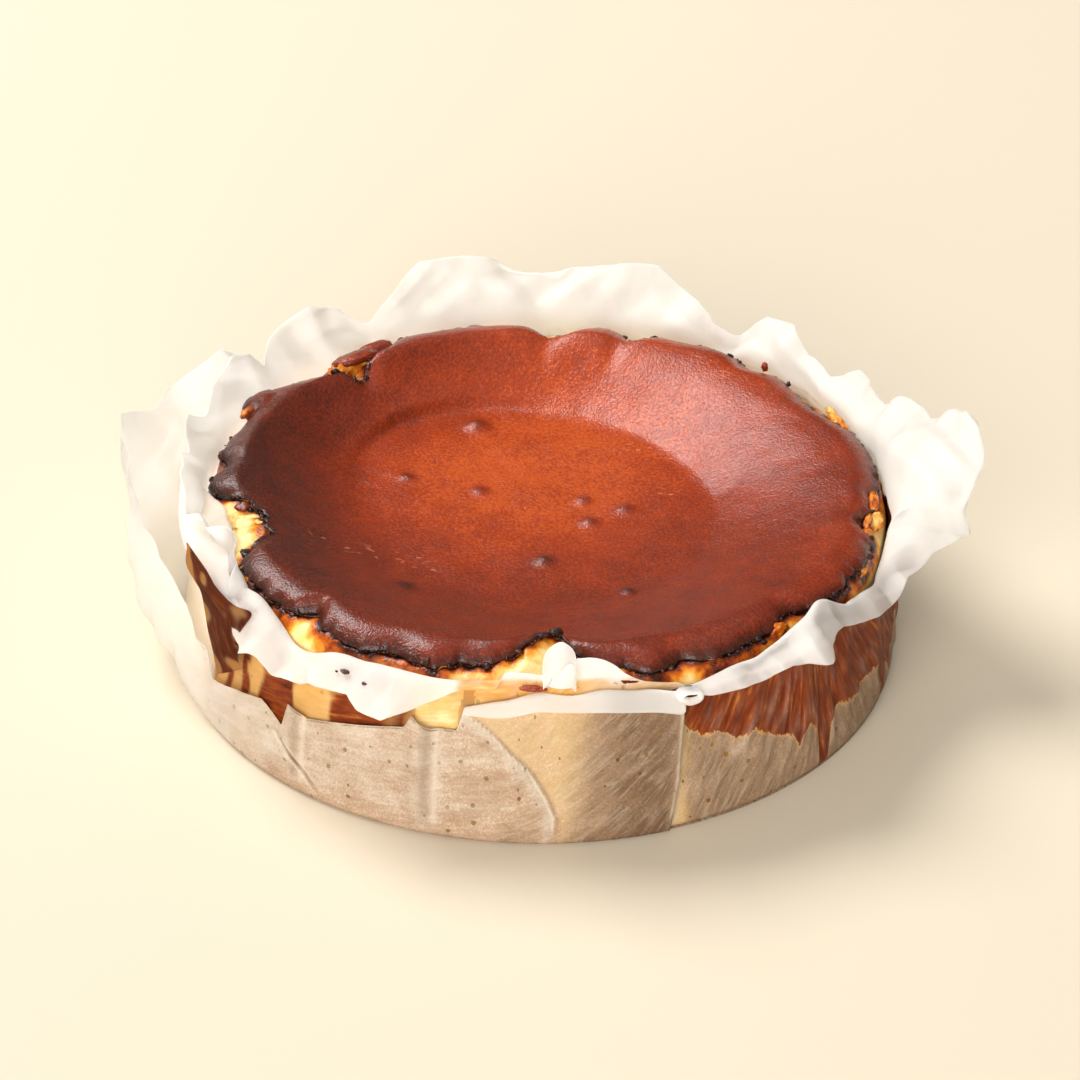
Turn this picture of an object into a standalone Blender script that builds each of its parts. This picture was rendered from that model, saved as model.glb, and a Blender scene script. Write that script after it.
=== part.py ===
"""A burnt-top cheesecake in the two sheets of baking paper that it was baked in.

Metres, +Z up. The origin is the middle of the foot, on the surface that the cake stands on.
Azimuths are in degrees: 0 is the front (-Y), and they grow towards the right (+X).
"""

import math

import bmesh
import bpy

# Cake, baked in a tin of 200 mm: its side leans in, and its top sits a little to the right
CAKE_RADIUS = 0.1000
SIDE_TAPER = 0.0055
SIDE_POWER = 1.6
TOP_SHIFT = 0.0018
SHOULDER_HEIGHT = 0.0430
FOOT_CHAMFER = 0.0020

# Burnt crust: a sunken floor, a slope up to a rolled rim, and a ragged edge
FLOOR_HEIGHT = 0.0385
FLOOR_RADIUS = 0.0570
FLOOR_DISH = 0.0006
CREST_HEIGHT = 0.0525
CREST_SHARE = 0.70
CREST_DROP = 0.18
CREST_HIGH_SIDE = 0.0022
CREST_HIGH_AZIMUTH = -145.0
RIM_ROLL = 0.0050
CRUST_RADIUS = 0.0913
CRUST_OVAL = 0.0026
CRUST_LIP = 0.0012
CRUST_INSET = 0.0006
LIP_OVERHANG = 0.0003
LEDGE_BULGE = 0.0014
# Where the crust is notched or torn, or swells out below zero: azimuth, depth, half width in degrees
CRUST_NOTCHES = (
    (-147.0, 0.0030, 4.0),
    (-138.0, 0.0120, 5.5),
    (-129.0, 0.0030, 6.0),
    (-122.5, 0.0030, 2.5),
    (-111.0, -0.0024, 7.0),
    (-96.0, 0.0035, 3.5),
    (-79.5, 0.0110, 5.5),
    (-74.5, 0.0040, 4.0),
    (-69.5, 0.0110, 5.5),
    (-48.5, -0.0025, 4.0),
    (-43.5, 0.0045, 2.4),
    (-32.0, -0.0025, 5.0),
    (-18.5, -0.0030, 3.5),
    (-13.0, 0.0015, 2.4),
    (2.0, 0.0130, 4.5),
    (19.0, -0.0030, 3.0),
    (33.0, -0.0024, 8.0),
    (47.0, 0.0030, 3.0),
    (79.5, 0.0050, 3.5),
    (88.0, 0.0025, 5.0),
    (119.0, 0.0050, 9.0),
    (137.0, 0.0035, 3.5),
    (161.0, 0.0045, 2.6),
    (176.5, 0.0065, 4.0),
)

# Baking paper, drawn thicker than the real sheet so that it stays a solid
PAPER = 0.0006
GAP = 0.0003
CORNER = 0.0015
# Pleats grow between these heights
PLEAT_RISE = (0.0020, 0.0200)

# Outer sheet: it stands from behind on the left round to the front right
# Its cut and slit top edge: azimuth, height
OUTER_EDGE = (
    (-137.0, 0.0026),
    (-134.0, 0.0400),
    (-121.0, 0.0610),
    (-106.0, 0.0540),
    (-91.0, 0.0700),
    (-84.0, 0.0640),
    (-80.0, 0.0470),
    (-72.0, 0.0380),
    (-67.5, 0.0340),
    (-65.0, 0.0265),
    (-61.5, 0.0250),
    (-60.0, 0.0180),
    (-48.0, 0.0225),
    (-43.0, 0.0186),
    (-41.8, 0.0264),
    (-38.0, 0.0243),
    (-21.0, 0.0313),
    (-19.6, 0.0355),
    (-16.4, 0.0330),
    (-12.4, 0.0331),
    (-11.3, 0.0397),
    (0.0, 0.0448),
    (10.0, 0.0450),
    (20.0, 0.0438),
    (22.4, 0.0434),
    (23.2, 0.0026),
)
OUTER_LEAN = 0.0225
OUTER_LEAN_AZIMUTH = -92.0
OUTER_LEAN_FRONT = 23.0
OUTER_LEAN_BACK = 42.0
LEAN_RISE = 0.0180
# Its front edge is turned down outwards between these azimuths
STRIP_FROM = -12.0
STRIP_TO = 22.0
STRIP_START_WIDTH = 0.0050
STRIP_END_WIDTH = 0.0105
STRIP_TILT = -60.0
# Vertical pleats: azimuth, half width in degrees, height
OUTER_PLEATS = ((-41.0, 2.2, 0.0012), (-18.0, 2.0, 0.0022), (-4.0, 2.6, 0.0010), (22.5, 3.0, 0.0018))

# Inner sheet: all round the cake, with its free edge opened out like petals
# Where it bends away from the cake: height, and what is added at an azimuth, with its half width
BEND_HEIGHT = 0.0450
BEND_RISES = (
    (-53.0, 6.0, 0.0035),
    (-41.0, 6.0, -0.0045),
    (-3.0, 10.0, 0.0030),
    (11.0, 3.5, 0.0040),
    (24.0, 8.0, -0.0030),
    (70.0, 12.0, -0.0045),
)
FREE_LEAST = 0.0035
OUTER_FREE_LEAST = 0.0004
OUTER_FREE_TILT = 80.0
# Petals: azimuth, half width in degrees, free length, tilt of its end above the horizontal
INNER_PETALS = (
    (-164.0, 16.0, 0.0240, 50.0),
    (-136.0, 15.5, 0.0200, 50.0),
    (-117.0, 10.5, 0.0205, 60.0),
    (-100.0, 9.0, 0.0175, 62.0),
    (-86.0, 11.0, 0.0160, 44.0),
    (-70.0, 8.0, 0.0115, 28.0),
    (-52.0, 6.0, 0.0175, -58.0),
    (-43.0, 7.0, 0.0130, -26.0),
    (-33.0, 7.5, 0.0145, -40.0),
    (-22.5, 6.0, 0.0190, -40.0),
    (-15.5, 5.0, 0.0080, -40.0),
    (3.5, 4.5, 0.0090, 87.0),
    (12.0, 5.0, 0.0035, 87.0),
    (19.5, 4.0, 0.0035, 88.0),
    (34.0, 11.5, 0.0085, -48.0),
    (47.0, 5.5, 0.0150, 80.0),
    (61.0, 13.0, 0.0100, -46.0),
    (75.0, 9.0, 0.0100, -20.0),
    (90.0, 15.0, 0.0385, 24.0),
    (105.0, 10.0, 0.0215, 38.0),
    (119.0, 10.0, 0.0165, 44.0),
    (138.0, 10.0, 0.0190, 48.0),
    (161.0, 11.0, 0.0230, 50.0),
    (177.0, 13.0, 0.0200, 46.0),
)
PETAL_POWER = 2.4
TILT_BLEND = 2.5
# The share of the free edge that bends: where it stands up, and where it is folded down
BEND_UPRIGHT = 0.70
BEND_FOLDED = 0.40
INNER_PLEATS = (
    (36.0, 2.0, 0.0008),
    (46.0, 2.4, 0.0014),
    (57.0, 2.0, 0.0009),
    (68.0, 2.4, 0.0010),
    (84.0, 3.0, 0.0012),
    (104.0, 3.0, 0.0012),
    (128.0, 3.0, 0.0014),
    (150.0, 3.0, 0.0014),
    (171.0, 3.0, 0.0012),
    (-158.0, 3.0, 0.0012),
)

# Fineness
CAKE_STEP = 3.3
PAPER_STEP = 3.7
INNER_WALL_STATIONS = 5
INNER_FREE_STATIONS = 5
OUTER_WALL_STATIONS = 5
OUTER_FREE_STATIONS = 3
KNEE_SHARE = 0.93
FLOOR_SHARES = (0.35, 0.65, 0.85, 1.0)
SLOPE_SHARES = (0.10, 0.24, 0.38, 0.50, 0.62, 0.74, 0.84, 0.92, 0.97, 1.0)
LEDGE_SHARES = (0.45, 0.90)
SIDE_HEIGHTS = (0.0415, 0.0330, 0.0200)
FOOT_SHARE = 0.55

# Colours as linear RGB
CRUST_COLOUR = (0.125, 0.030, 0.014)
PAPER_COLOUR = (0.860, 0.800, 0.690)


def turned(azimuth, radius, height):
    angle = math.radians(azimuth)
    return (radius * math.sin(angle), -radius * math.cos(angle), height)


def between(azimuth, other):
    """How far azimuth lies past the other one, from -180 to 180."""
    return (azimuth - other + 180.0) % 360.0 - 180.0


def ramp(value, start, end):
    share = min(max((value - start) / (end - start), 0.0), 1.0)
    return share * share * (3.0 - 2.0 * share)


def swell(azimuth, centre, half_width):
    return math.exp(-((between(azimuth, centre) / half_width) ** 2))


def on_edge(azimuth, edge):
    """The height of a sheet's top edge, straight between its corners, and its lowest outside them."""
    for (start, low), (end, high) in zip(edge, edge[1:]):
        if start <= azimuth <= end:
            return low + (high - low) * (azimuth - start) / (end - start)
    return edge[0][1]


def side_radius(azimuth, height):
    """The cake's side, which leans in up to the shoulder."""
    taper = SIDE_TAPER - TOP_SHIFT * math.sin(math.radians(azimuth))
    return CAKE_RADIUS - taper * min(height / SHOULDER_HEIGHT, 1.0) ** SIDE_POWER


def crust_radius(azimuth):
    angle = math.radians(azimuth)
    round_edge = CRUST_RADIUS - CRUST_OVAL * math.cos(2.0 * angle) + TOP_SHIFT * math.sin(angle)
    notches = sum(depth * swell(azimuth, centre, width) for centre, depth, width in CRUST_NOTCHES)
    return min(round_edge - notches, side_radius(azimuth, SHOULDER_HEIGHT) - CRUST_INSET)


def crust_height(azimuth, share):
    """The crust's height at a share of the way from the sunken floor's edge to the crust's own."""
    notched = (CRUST_RADIUS - CRUST_OVAL - crust_radius(azimuth)) / CRUST_RADIUS
    turn = math.cos(math.radians(azimuth - CREST_HIGH_AZIMUTH))
    crest = CREST_HEIGHT * (1.0 - CREST_DROP * max(notched, 0.0)) + CREST_HIGH_SIDE * (1.0 + turn) / 2.0
    rise = (crest - FLOOR_HEIGHT) * ramp(share, -0.12, CREST_SHARE)
    roll = RIM_ROLL * max((share - CREST_SHARE) / (1.0 - CREST_SHARE), 0.0) ** 2
    return FLOOR_HEIGHT + rise - roll


def cake_section(azimuth):
    """Radius and height from the middle of the top, over the rim and down to the foot."""
    edge = crust_radius(azimuth)
    points = [(FLOOR_RADIUS * share, crust_height(azimuth, 0.0) - FLOOR_DISH * (1.0 - share))
              for share in FLOOR_SHARES]
    for share in SLOPE_SHARES:
        points.append((FLOOR_RADIUS + (edge - FLOOR_RADIUS) * share, crust_height(azimuth, share)))
    lip_height = crust_height(azimuth, 1.0) - CRUST_LIP
    points.append((edge - LIP_OVERHANG, lip_height))
    shoulder = side_radius(azimuth, SHOULDER_HEIGHT)
    for share in LEDGE_SHARES:
        bulge = LEDGE_BULGE * math.sin(math.pi * share)
        points.append((edge + (shoulder - edge) * share,
                       lip_height + (SHOULDER_HEIGHT - lip_height) * share + bulge))
    base = PAPER + GAP + PAPER + GAP
    for height in (*SIDE_HEIGHTS, base + FOOT_CHAMFER):
        points.append((side_radius(azimuth, height), height))
    points.append((CAKE_RADIUS - FOOT_CHAMFER, base))
    return points


def inner_free(azimuth):
    """Free length and tilt of the inner sheet's edge, taken from the petals there."""
    length = FREE_LEAST
    weights = 0.0
    tilts = 0.0
    for centre, half_width, reach, tilt in INNER_PETALS:
        off = abs(between(azimuth, centre)) / half_width
        length = max(length, reach * (1.0 - min(off, 1.0) ** PETAL_POWER))
        weight = math.exp(-TILT_BLEND * off * off)
        weights += weight
        tilts += weight * tilt
    return length, tilts / weights


def free_edge(radius, height, length, tilt, stations):
    """Points along a free edge that leaves the wall upwards and bends over to its tilt."""
    points = []
    step = length / stations
    bend = BEND_UPRIGHT if tilt > 0.0 else BEND_FOLDED
    for index in range(stations):
        along = (index + 0.5) / stations
        heading = math.radians(90.0 + (tilt - 90.0) * ramp(along, -0.05, bend))
        radius += step * math.cos(heading)
        height += step * math.sin(heading)
        points.append((radius, height))
    return points


def paper_foot(wall_radius, base):
    """A sheet's flat bottom and the corner where it turns up."""
    slant = CORNER * (1.0 - math.sqrt(0.5))
    return [(wall_radius * FOOT_SHARE, base), (wall_radius - CORNER, base),
            (wall_radius - slant, base + slant)]


def wall_heights(low, top, count):
    """Heights up a sheet's wall, with one at the cake's shoulder, or just under the top of a lower wall."""
    knee = min(SHOULDER_HEIGHT, low + (top - low) * KNEE_SHARE)
    return [low + (knee - low) * index / (count - 2) for index in range(count - 1)] + [top]


def inner_section(azimuth):
    clear = GAP + PAPER / 2.0
    base = PAPER + GAP + PAPER / 2.0
    top = BEND_HEIGHT + sum(rise * swell(azimuth, centre, width) for centre, width, rise in BEND_RISES)
    pleat = sum(height * swell(azimuth, centre, width) for centre, width, height in INNER_PLEATS)
    points = paper_foot(CAKE_RADIUS + clear, base)
    for height in wall_heights(base + CORNER, top, INNER_WALL_STATIONS):
        spread = pleat * ramp(height, *PLEAT_RISE)
        points.append((side_radius(azimuth, height) + clear + spread, height))
    length, tilt = inner_free(azimuth)
    return points + free_edge(*points[-1], length, tilt, INNER_FREE_STATIONS)


def outer_section(azimuth):
    clear = GAP + PAPER + GAP + PAPER / 2.0
    base = PAPER / 2.0
    width = OUTER_LEAN_FRONT if between(azimuth, OUTER_LEAN_AZIMUTH) > 0.0 else OUTER_LEAN_BACK
    lean = OUTER_LEAN * swell(azimuth, OUTER_LEAN_AZIMUTH, width)
    pleat = sum(height * swell(azimuth, centre, half) for centre, half, height in OUTER_PLEATS)
    strip = ramp(azimuth, STRIP_FROM - 1.0, STRIP_FROM) * (1.0 - ramp(azimuth, STRIP_TO, STRIP_TO + 1.0))
    top = on_edge(azimuth, OUTER_EDGE)
    along = (azimuth - STRIP_FROM) / (STRIP_TO - STRIP_FROM)
    folded = STRIP_START_WIDTH + (STRIP_END_WIDTH - STRIP_START_WIDTH) * along
    free = OUTER_FREE_LEAST + (folded - OUTER_FREE_LEAST) * strip
    points = paper_foot(CAKE_RADIUS + clear, base)
    for height in wall_heights(base + CORNER, top - OUTER_FREE_LEAST, OUTER_WALL_STATIONS):
        spread = lean * (1.0 - math.exp(-height / LEAN_RISE)) + pleat * ramp(height, *PLEAT_RISE)
        points.append((side_radius(azimuth, height) + clear + spread, height))
    tilt = OUTER_FREE_TILT + (STRIP_TILT - OUTER_FREE_TILT) * strip
    return points + free_edge(*points[-1], free, tilt, OUTER_FREE_STATIONS)


def azimuths(step, keys=()):
    """Azimuths round the whole cake: the keys, and even steps between them."""
    corners = sorted(set(keys)) or [-180.0]
    found = []
    for start, end in zip(corners, corners[1:] + [corners[0] + 360.0]):
        count = max(round((end - start) / step), 1)
        found += [start + (end - start) * index / count for index in range(count)]
    return found


class Skin:
    """Points in rings round the axis, and the triangles between them."""

    def __init__(self):
        self.points = []
        self.faces = []

    def point(self, place):
        self.points.append(place)
        return len(self.points) - 1

    def ring(self, places):
        return [self.point(place) for place in places]

    def band(self, first, second):
        count = len(first)
        for index in range(count):
            after = (index + 1) % count
            self.faces.append((first[index], first[after], second[after]))
            self.faces.append((first[index], second[after], second[index]))

    def fan(self, centre, ring):
        count = len(ring)
        for index in range(count):
            self.faces.append((centre, ring[index], ring[(index + 1) % count]))

    def build(self, name, material, sharp_degrees):
        mesh = bpy.data.meshes.new(name)
        mesh.from_pydata(self.points, [], self.faces)
        shape = bmesh.new()
        shape.from_mesh(mesh)
        bmesh.ops.recalc_face_normals(shape, faces=shape.faces)
        shape.to_mesh(mesh)
        shape.free()
        mesh.shade_smooth()
        mesh.set_sharp_from_angle(angle=math.radians(sharp_degrees))
        mesh.materials.append(material)
        solid = bpy.data.objects.new(name, mesh)
        bpy.context.scene.collection.objects.link(solid)
        return solid


def turned_solid(name, section, middle_top, turns, material):
    """A solid turned round the axis whose section changes with the azimuth."""
    skin = Skin()
    sections = [section(azimuth) for azimuth in turns]
    rings = []
    for station in range(len(sections[0])):
        rings.append(skin.ring(turned(azimuth, *points[station])
                               for azimuth, points in zip(turns, sections)))
    skin.fan(skin.point((0.0, 0.0, middle_top)), rings[0])
    for first, second in zip(rings, rings[1:]):
        skin.band(first, second)
    skin.fan(skin.point((0.0, 0.0, sections[0][-1][1])), rings[-1])
    return skin.build(name, material, 60.0)


def offset_section(points, distance):
    """A section moved sideways by a distance, square to itself."""
    moved = []
    for index, (radius, height) in enumerate(points):
        before = points[max(index - 1, 0)]
        after = points[min(index + 1, len(points) - 1)]
        run = after[0] - before[0]
        rise = after[1] - before[1]
        length = math.hypot(run, rise)
        moved.append((radius + distance * rise / length, height - distance * run / length))
    return moved


def paper_sheet(name, section, turns, material):
    """A sheet with its flat bottom under the cake and its wall round it, as a thin closed solid."""
    skin = Skin()
    sections = [section(azimuth) for azimuth in turns]
    faces = []
    for distance in (PAPER / 2.0, -PAPER / 2.0):
        moved = [offset_section(points, distance) for points in sections]
        rings = []
        for station in range(len(moved[0])):
            rings.append(skin.ring(turned(azimuth, *points[station])
                                   for azimuth, points in zip(turns, moved)))
        centre = skin.point((0.0, 0.0, moved[0][0][1]))
        skin.fan(centre, rings[0])
        for first, second in zip(rings, rings[1:]):
            skin.band(first, second)
        faces.append(rings[-1])
    skin.band(*faces)
    return skin.build(name, material, 50.0)


def surface(name, colour, roughness):
    material = bpy.data.materials.new(name)
    material.use_nodes = True
    shader = material.node_tree.nodes["Principled BSDF"]
    shader.inputs["Base Color"].default_value = (*colour, 1.0)
    shader.inputs["Roughness"].default_value = roughness
    shader.inputs["Metallic"].default_value = 0.0
    material.diffuse_color = (*colour, 1.0)
    return material


def clear_scene():
    for item in list(bpy.data.objects):
        bpy.data.objects.remove(item, do_unlink=True)


def build_cake():
    turns = azimuths(CAKE_STEP, [centre for centre, depth, width in CRUST_NOTCHES])
    middle = crust_height(0.0, 0.0) - FLOOR_DISH
    return turned_solid("cake", cake_section, middle, turns, surface("Burnt crust", CRUST_COLOUR, 0.45))


def build_inner_paper():
    petals = [centre for centre, half_width, reach, tilt in INNER_PETALS]
    return paper_sheet("inner_paper", inner_section, azimuths(PAPER_STEP, petals),
                       surface("Baking paper inside", PAPER_COLOUR, 0.6))


def build_outer_paper():
    corners = [azimuth for azimuth, height in OUTER_EDGE]
    return paper_sheet("outer_paper", outer_section, azimuths(PAPER_STEP, corners),
                       surface("Baking paper outside", PAPER_COLOUR, 0.6))


clear_scene()
build_cake()
build_inner_paper()
build_outer_paper()
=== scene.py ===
"""Looks of a burnt-top cheesecake in its two sheets of baking paper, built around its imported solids.

Metres, +Z up. The origin is the middle of the foot, on the surface that the cake stands on.
Azimuths are in degrees: 0 is the front (-Y), and they grow towards the right (+X).
"""

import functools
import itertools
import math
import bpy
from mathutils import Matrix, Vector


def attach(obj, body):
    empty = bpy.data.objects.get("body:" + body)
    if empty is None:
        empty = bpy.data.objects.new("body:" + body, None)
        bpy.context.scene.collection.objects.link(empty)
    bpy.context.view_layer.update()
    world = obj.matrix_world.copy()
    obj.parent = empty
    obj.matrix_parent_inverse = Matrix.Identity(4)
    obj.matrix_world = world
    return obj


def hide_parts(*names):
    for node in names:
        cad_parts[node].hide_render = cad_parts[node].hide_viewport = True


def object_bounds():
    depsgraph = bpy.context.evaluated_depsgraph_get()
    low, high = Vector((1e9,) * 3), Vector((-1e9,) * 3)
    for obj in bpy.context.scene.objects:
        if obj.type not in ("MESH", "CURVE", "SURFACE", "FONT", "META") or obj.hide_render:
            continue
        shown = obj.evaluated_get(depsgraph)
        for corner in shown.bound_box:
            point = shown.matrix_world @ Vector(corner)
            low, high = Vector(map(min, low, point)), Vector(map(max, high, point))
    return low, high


bl_info = {
    "name": "Burnt cheesecake in baking paper",
    "version": (1, 0, 0),
    "blender": (4, 5, 0),
    "location": "View3D > Sidebar > Cheesecake",
    "description": "Builds the crust, the custard, the creased paper and the crumbs of a burnt cheesecake",
    "category": "Add Mesh",
}

import bmesh
import bpy
import numpy as np
from bpy.props import FloatProperty, FloatVectorProperty, IntProperty, PointerProperty
from mathutils import Matrix, Vector

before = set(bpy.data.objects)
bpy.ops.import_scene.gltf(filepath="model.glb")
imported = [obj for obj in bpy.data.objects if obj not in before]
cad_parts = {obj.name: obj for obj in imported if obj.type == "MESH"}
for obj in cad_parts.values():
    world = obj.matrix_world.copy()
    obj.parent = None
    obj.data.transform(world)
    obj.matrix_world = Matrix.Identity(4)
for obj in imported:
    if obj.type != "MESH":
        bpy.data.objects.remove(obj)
cad_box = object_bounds()

MM = 0.001

# ---------------------------------------------------------------- sizes of the cake

# The side leans in by the taper up to the shoulder, and the whole top lies a little to the right
SIDE_TAPER = 0.0055
SIDE_POWER = 1.6
TOP_SHIFT = 0.0018
SHOULDER_HEIGHT = 0.0430
FOOT_CHAMFER = 0.0020
FLOOR_DISH = 0.0006
RIM_ROLL = 0.0036
# The rim's highest line: azimuth, height, distance from the crust's edge
CREST_LINE = (
    (-180, 0.0535, 0.009), (-145, 0.0547, 0.009), (-95, 0.053, 0.0085), (-60, 0.0518, 0.0078),
    (-30, 0.0512, 0.0072), (0, 0.051, 0.007), (30, 0.051, 0.0072), (60, 0.0514, 0.0076),
    (90, 0.0522, 0.008), (130, 0.0528, 0.0088), (180, 0.0535, 0.009),
)
# From side to side the crust is four times its oval wider than from front to back. It stays the inset inside
# the shoulder and ends in a lip that is tucked in under it, and the ledge of custard below it bulges
CRUST_OVAL = 0.0026
CRUST_INSET = 0.0006
CRUST_LIP = 0.0013
LIP_TUCK = 0.0009
LEDGE_BULGE = 0.0014
# The custard turns from brown to cream over this distance from the crust
CUSTARD_REACH = 0.0065
# Where the sunken floor ends and the slope to the rim begins: azimuth, radius
SLOPE_START = (
    (-180, 0.06), (-165, 0.064), (-140, 0.066), (-120, 0.062), (-90, 0.052), (-60, 0.048), (-30, 0.047),
    (0, 0.046), (40, 0.047), (75, 0.049), (100, 0.05), (130, 0.051), (155, 0.054), (180, 0.06),
)
# A crisp fold runs along the foot of the slope there: azimuth, half width in degrees, height
SLOPE_FOLDS = ((-148, 24, 0.0022), (128, 30, 0.0006))
# At the back right the slope starts more firmly: azimuth, half width in degrees
FIRM_SLOPE = 122.0
FIRM_SLOPE_WIDTH = 42.0
# Folds that run inwards from the deepest notches: azimuth, half width in degrees, depth
NOTCH_FOLDS = ((-139, 3.2, 0.003), (179, 2.6, 0.0012), (163.5, 2.2, 0.0012), (1, 7, -0.002))
# Where the crust is notched or torn, or swells out below zero: azimuth, half width in degrees, depth
CRUST_NOTCHES = (
    (-147, 4, 0.003), (-138, 5.5, 0.012), (-129, 5, 0.003), (-113.5, 6.5, -0.0046), (-96, 3.5, 0.0035),
    (-80, 5, 0.0135), (-74.5, 4, 0.006), (-70, 4.5, 0.011), (-48.5, 4, -0.0025), (-43.5, 2.4, 0.0045),
    (-32, 5, -0.0025), (-18.5, 3.5, -0.003), (-13, 2.4, 0.0015), (19, 3, -0.003), (33, 8, -0.0024),
    (47, 3, 0.003), (79.5, 3.5, 0.005), (88, 5, 0.0025), (119, 9, 0.005), (137, 3.5, 0.0035),
    (161, 2.6, 0.0045), (176.5, 4, 0.0065),
)
# In front a slanting tear runs into the crust: azimuth, depth
FRONT_TEAR = (
    (-13, 0), (-9, 0.001), (-5, 0.004), (-2, 0.0085), (0.5, 0.013), (3.4, 0.0155), (4.4, 0.0145), (5, 0.01),
    (7, 0.0055), (10, 0.002), (13, 0),
)
# How much darker than the middle the rim is baked: azimuth, share
CHAR_LINE = (
    (-180, 0.04), (-150, 0.15), (-125, 0.2), (-95, 0.24), (-75, 0.2), (-50, 0.08), (-20, 0), (15, 0),
    (35, 0), (60, -0.1), (85, -0.06), (110, -0.05), (140, -0.1), (180, 0.02),
)
# The crust is lightest round this spot a little behind its middle: x, y
PALE_SPOT = (-0.004, 0.034)
# Steam blisters on the sunken floor: azimuth, distance from the middle, half width, height
BLISTERS = (
    (-160, 0.053, 0.0034, 0.002),
    (-119, 0.043, 0.0022, 0.0009),
    (-132, 0.0226, 0.0022, 0.0009),
    (128, 0.016, 0.0022, 0.001),
    (85, 0.0143, 0.0024, 0.0013),
    (103, 0.0248, 0.0024, 0.001),
    (4, 0.0217, 0.0026, 0.0014),
    (33, 0.0447, 0.0022, 0.001),
    (-43, 0.0526, 0.0024, 0.0009),
)
# Pale pits and scratches lie scattered over these ovals: x, y, half length, half width, in millimetres
PITTED = (
    (-43, -20, 15, 3), (-58, -17, 5, 3), (-30, -27, 5, 2.5), (36, 15, 4, 5), (59.6, 6.5, 2.2, 1.2),
    (15, 40, 14, 1.5), (29, 37.5, 6, 2),
)

# How uneven the skin, the ledge, the skin near its edge and the crust's outline are, in millimetres, and the
# length of the crust's lip, as a share: depth, size in millimetres, seed
SKIN_WAVES = ((0.3, 13, 1), (0.12, 4, 2))
LEDGE_WAVES = ((0.5, 5, 4), (0.35, 2.2, 5))
EDGE_WAVES = ((0.35, 1.7, 6),)
OUTLINE_WAVES = ((1, 5, 11), (0.8, 1.8, 12))
LIP_WAVES = ((0.45, 3.5, 13), (0.35, 1.6, 14))
# Rows of the cake's mesh over the top, the ledge and the side
TOP_ROWS, LEDGE_ROWS, SIDE_ROWS = 96, 20, 19

# ---------------------------------------------------------------- sizes of the paper

# Real greaseproof paper is 0.05 mm thick, too thin to show at its edge, so it is drawn about three times that
SHEET = 0.00016
# Thickness of the solids' sheets, the gap between solids, and the slanting corner between bottom and wall
PAPER = 0.0006
GAP = 0.0003
CORNER = 0.0015
# Pleats grow between these heights
PLEAT_RISE = (0.0020, 0.0200)
# The inner sheet leaves the cake's side at this height, more or less: azimuth, half width in degrees, rise
BEND_HEIGHT = 0.0450
BEND_RISES = (
    (-53, 6, 0.0035), (-41, 6, -0.0045), (-3, 10, 0.003), (11, 3.5, 0.004), (24, 8, -0.003),
    (49, 6, 0.0072), (70, 12, -0.0045),
)
# Tilt of the inner sheet's free edge above the horizontal: azimuth, half width in degrees, tilt
INNER_TILTS = (
    (-164, 16, 50), (-136, 15.5, 50), (-117, 10.5, 60), (-100, 9, 62), (-86, 11, 44), (-73, 4.5, 58),
    (-62.5, 6, 82), (-51.5, 5, -58), (-43, 7, -26), (-33, 7.5, -40), (-22.5, 6, -40), (-15.5, 5, -40),
    (3.5, 4.5, 87), (12, 5, 87), (19.5, 4, 88), (34, 11.5, -48), (49, 7, -60), (61, 13, -46), (75, 9, -20),
    (90, 15, 24), (105, 10, 38), (119, 10, 44), (138, 10, 48), (161, 11, 50), (177, 13, 46),
)
# Corners of its cut edge: azimuth, free length in millimetres above the fold
INNER_CUT = (
    (-180, 18.8), (-173, 21.8), (-167, 24.2), (-160, 24), (-155, 17), (-152, 13.5), (-149, 9.3),
    (-144, 16.5), (-137, 20), (-131, 18.5), (-128, 16.7), (-124, 10.3), (-121, 17), (-116, 20.5),
    (-109, 15), (-106, 11), (-101, 17.5), (-96, 15.5), (-93.5, 11.5), (-90, 16), (-83, 16), (-78, 10),
    (-73, 12), (-70, 11), (-62, 9.5), (-57.5, 8), (-54.6, 6), (-51.5, 15.5), (-48, 17.5), (-45.5, 13.5),
    (-44, 12.5), (-38, 12), (-33, 14), (-28.5, 13), (-26, 17.5), (-22, 19), (-17, 9), (-13, 4.5), (-6, 3),
    (0, 2.6), (5, 3), (6, 8.6), (8, 8), (11, 5), (13.5, 3.4), (17, 2.8), (21, 2.6), (24, 3.4), (27, 6),
    (32, 8.5), (37, 8.3), (40.5, 9.5), (43, 12.5), (45.5, 17.5), (47.5, 15.5), (50, 12.5), (53, 10),
    (57, 8), (62, 10), (68, 9.5), (73, 10), (78, 16), (80.5, 28), (85, 36.5), (91, 38), (97, 32),
    (100, 23.5), (106, 21), (111, 13.5), (114, 14.5), (119, 16.5), (123, 9), (130, 10.5), (135, 17.8),
    (141, 16.5), (145, 7.5), (149, 8), (153, 14), (161, 23.2), (167, 21.5), (172, 19), (176, 20),
    (180, 18.8),
)
TILT_BLEND = 2.5
# Share of the free edge that bends, where it stands up and where it is folded down
BEND_UPRIGHT = 0.70
BEND_FOLDED = 0.40
# Pleats of the inner sheet: azimuth, half width in degrees, height
INNER_PLEATS = (
    (36, 2, 0.0008), (46, 2.4, 0.0014), (57, 2, 0.0009), (68, 2.4, 0.001), (84, 3, 0.0012),
    (104, 3, 0.0012), (128, 3, 0.0014), (150, 3, 0.0014), (171, 3, 0.0012), (-158, 3, 0.0012),
)
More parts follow.
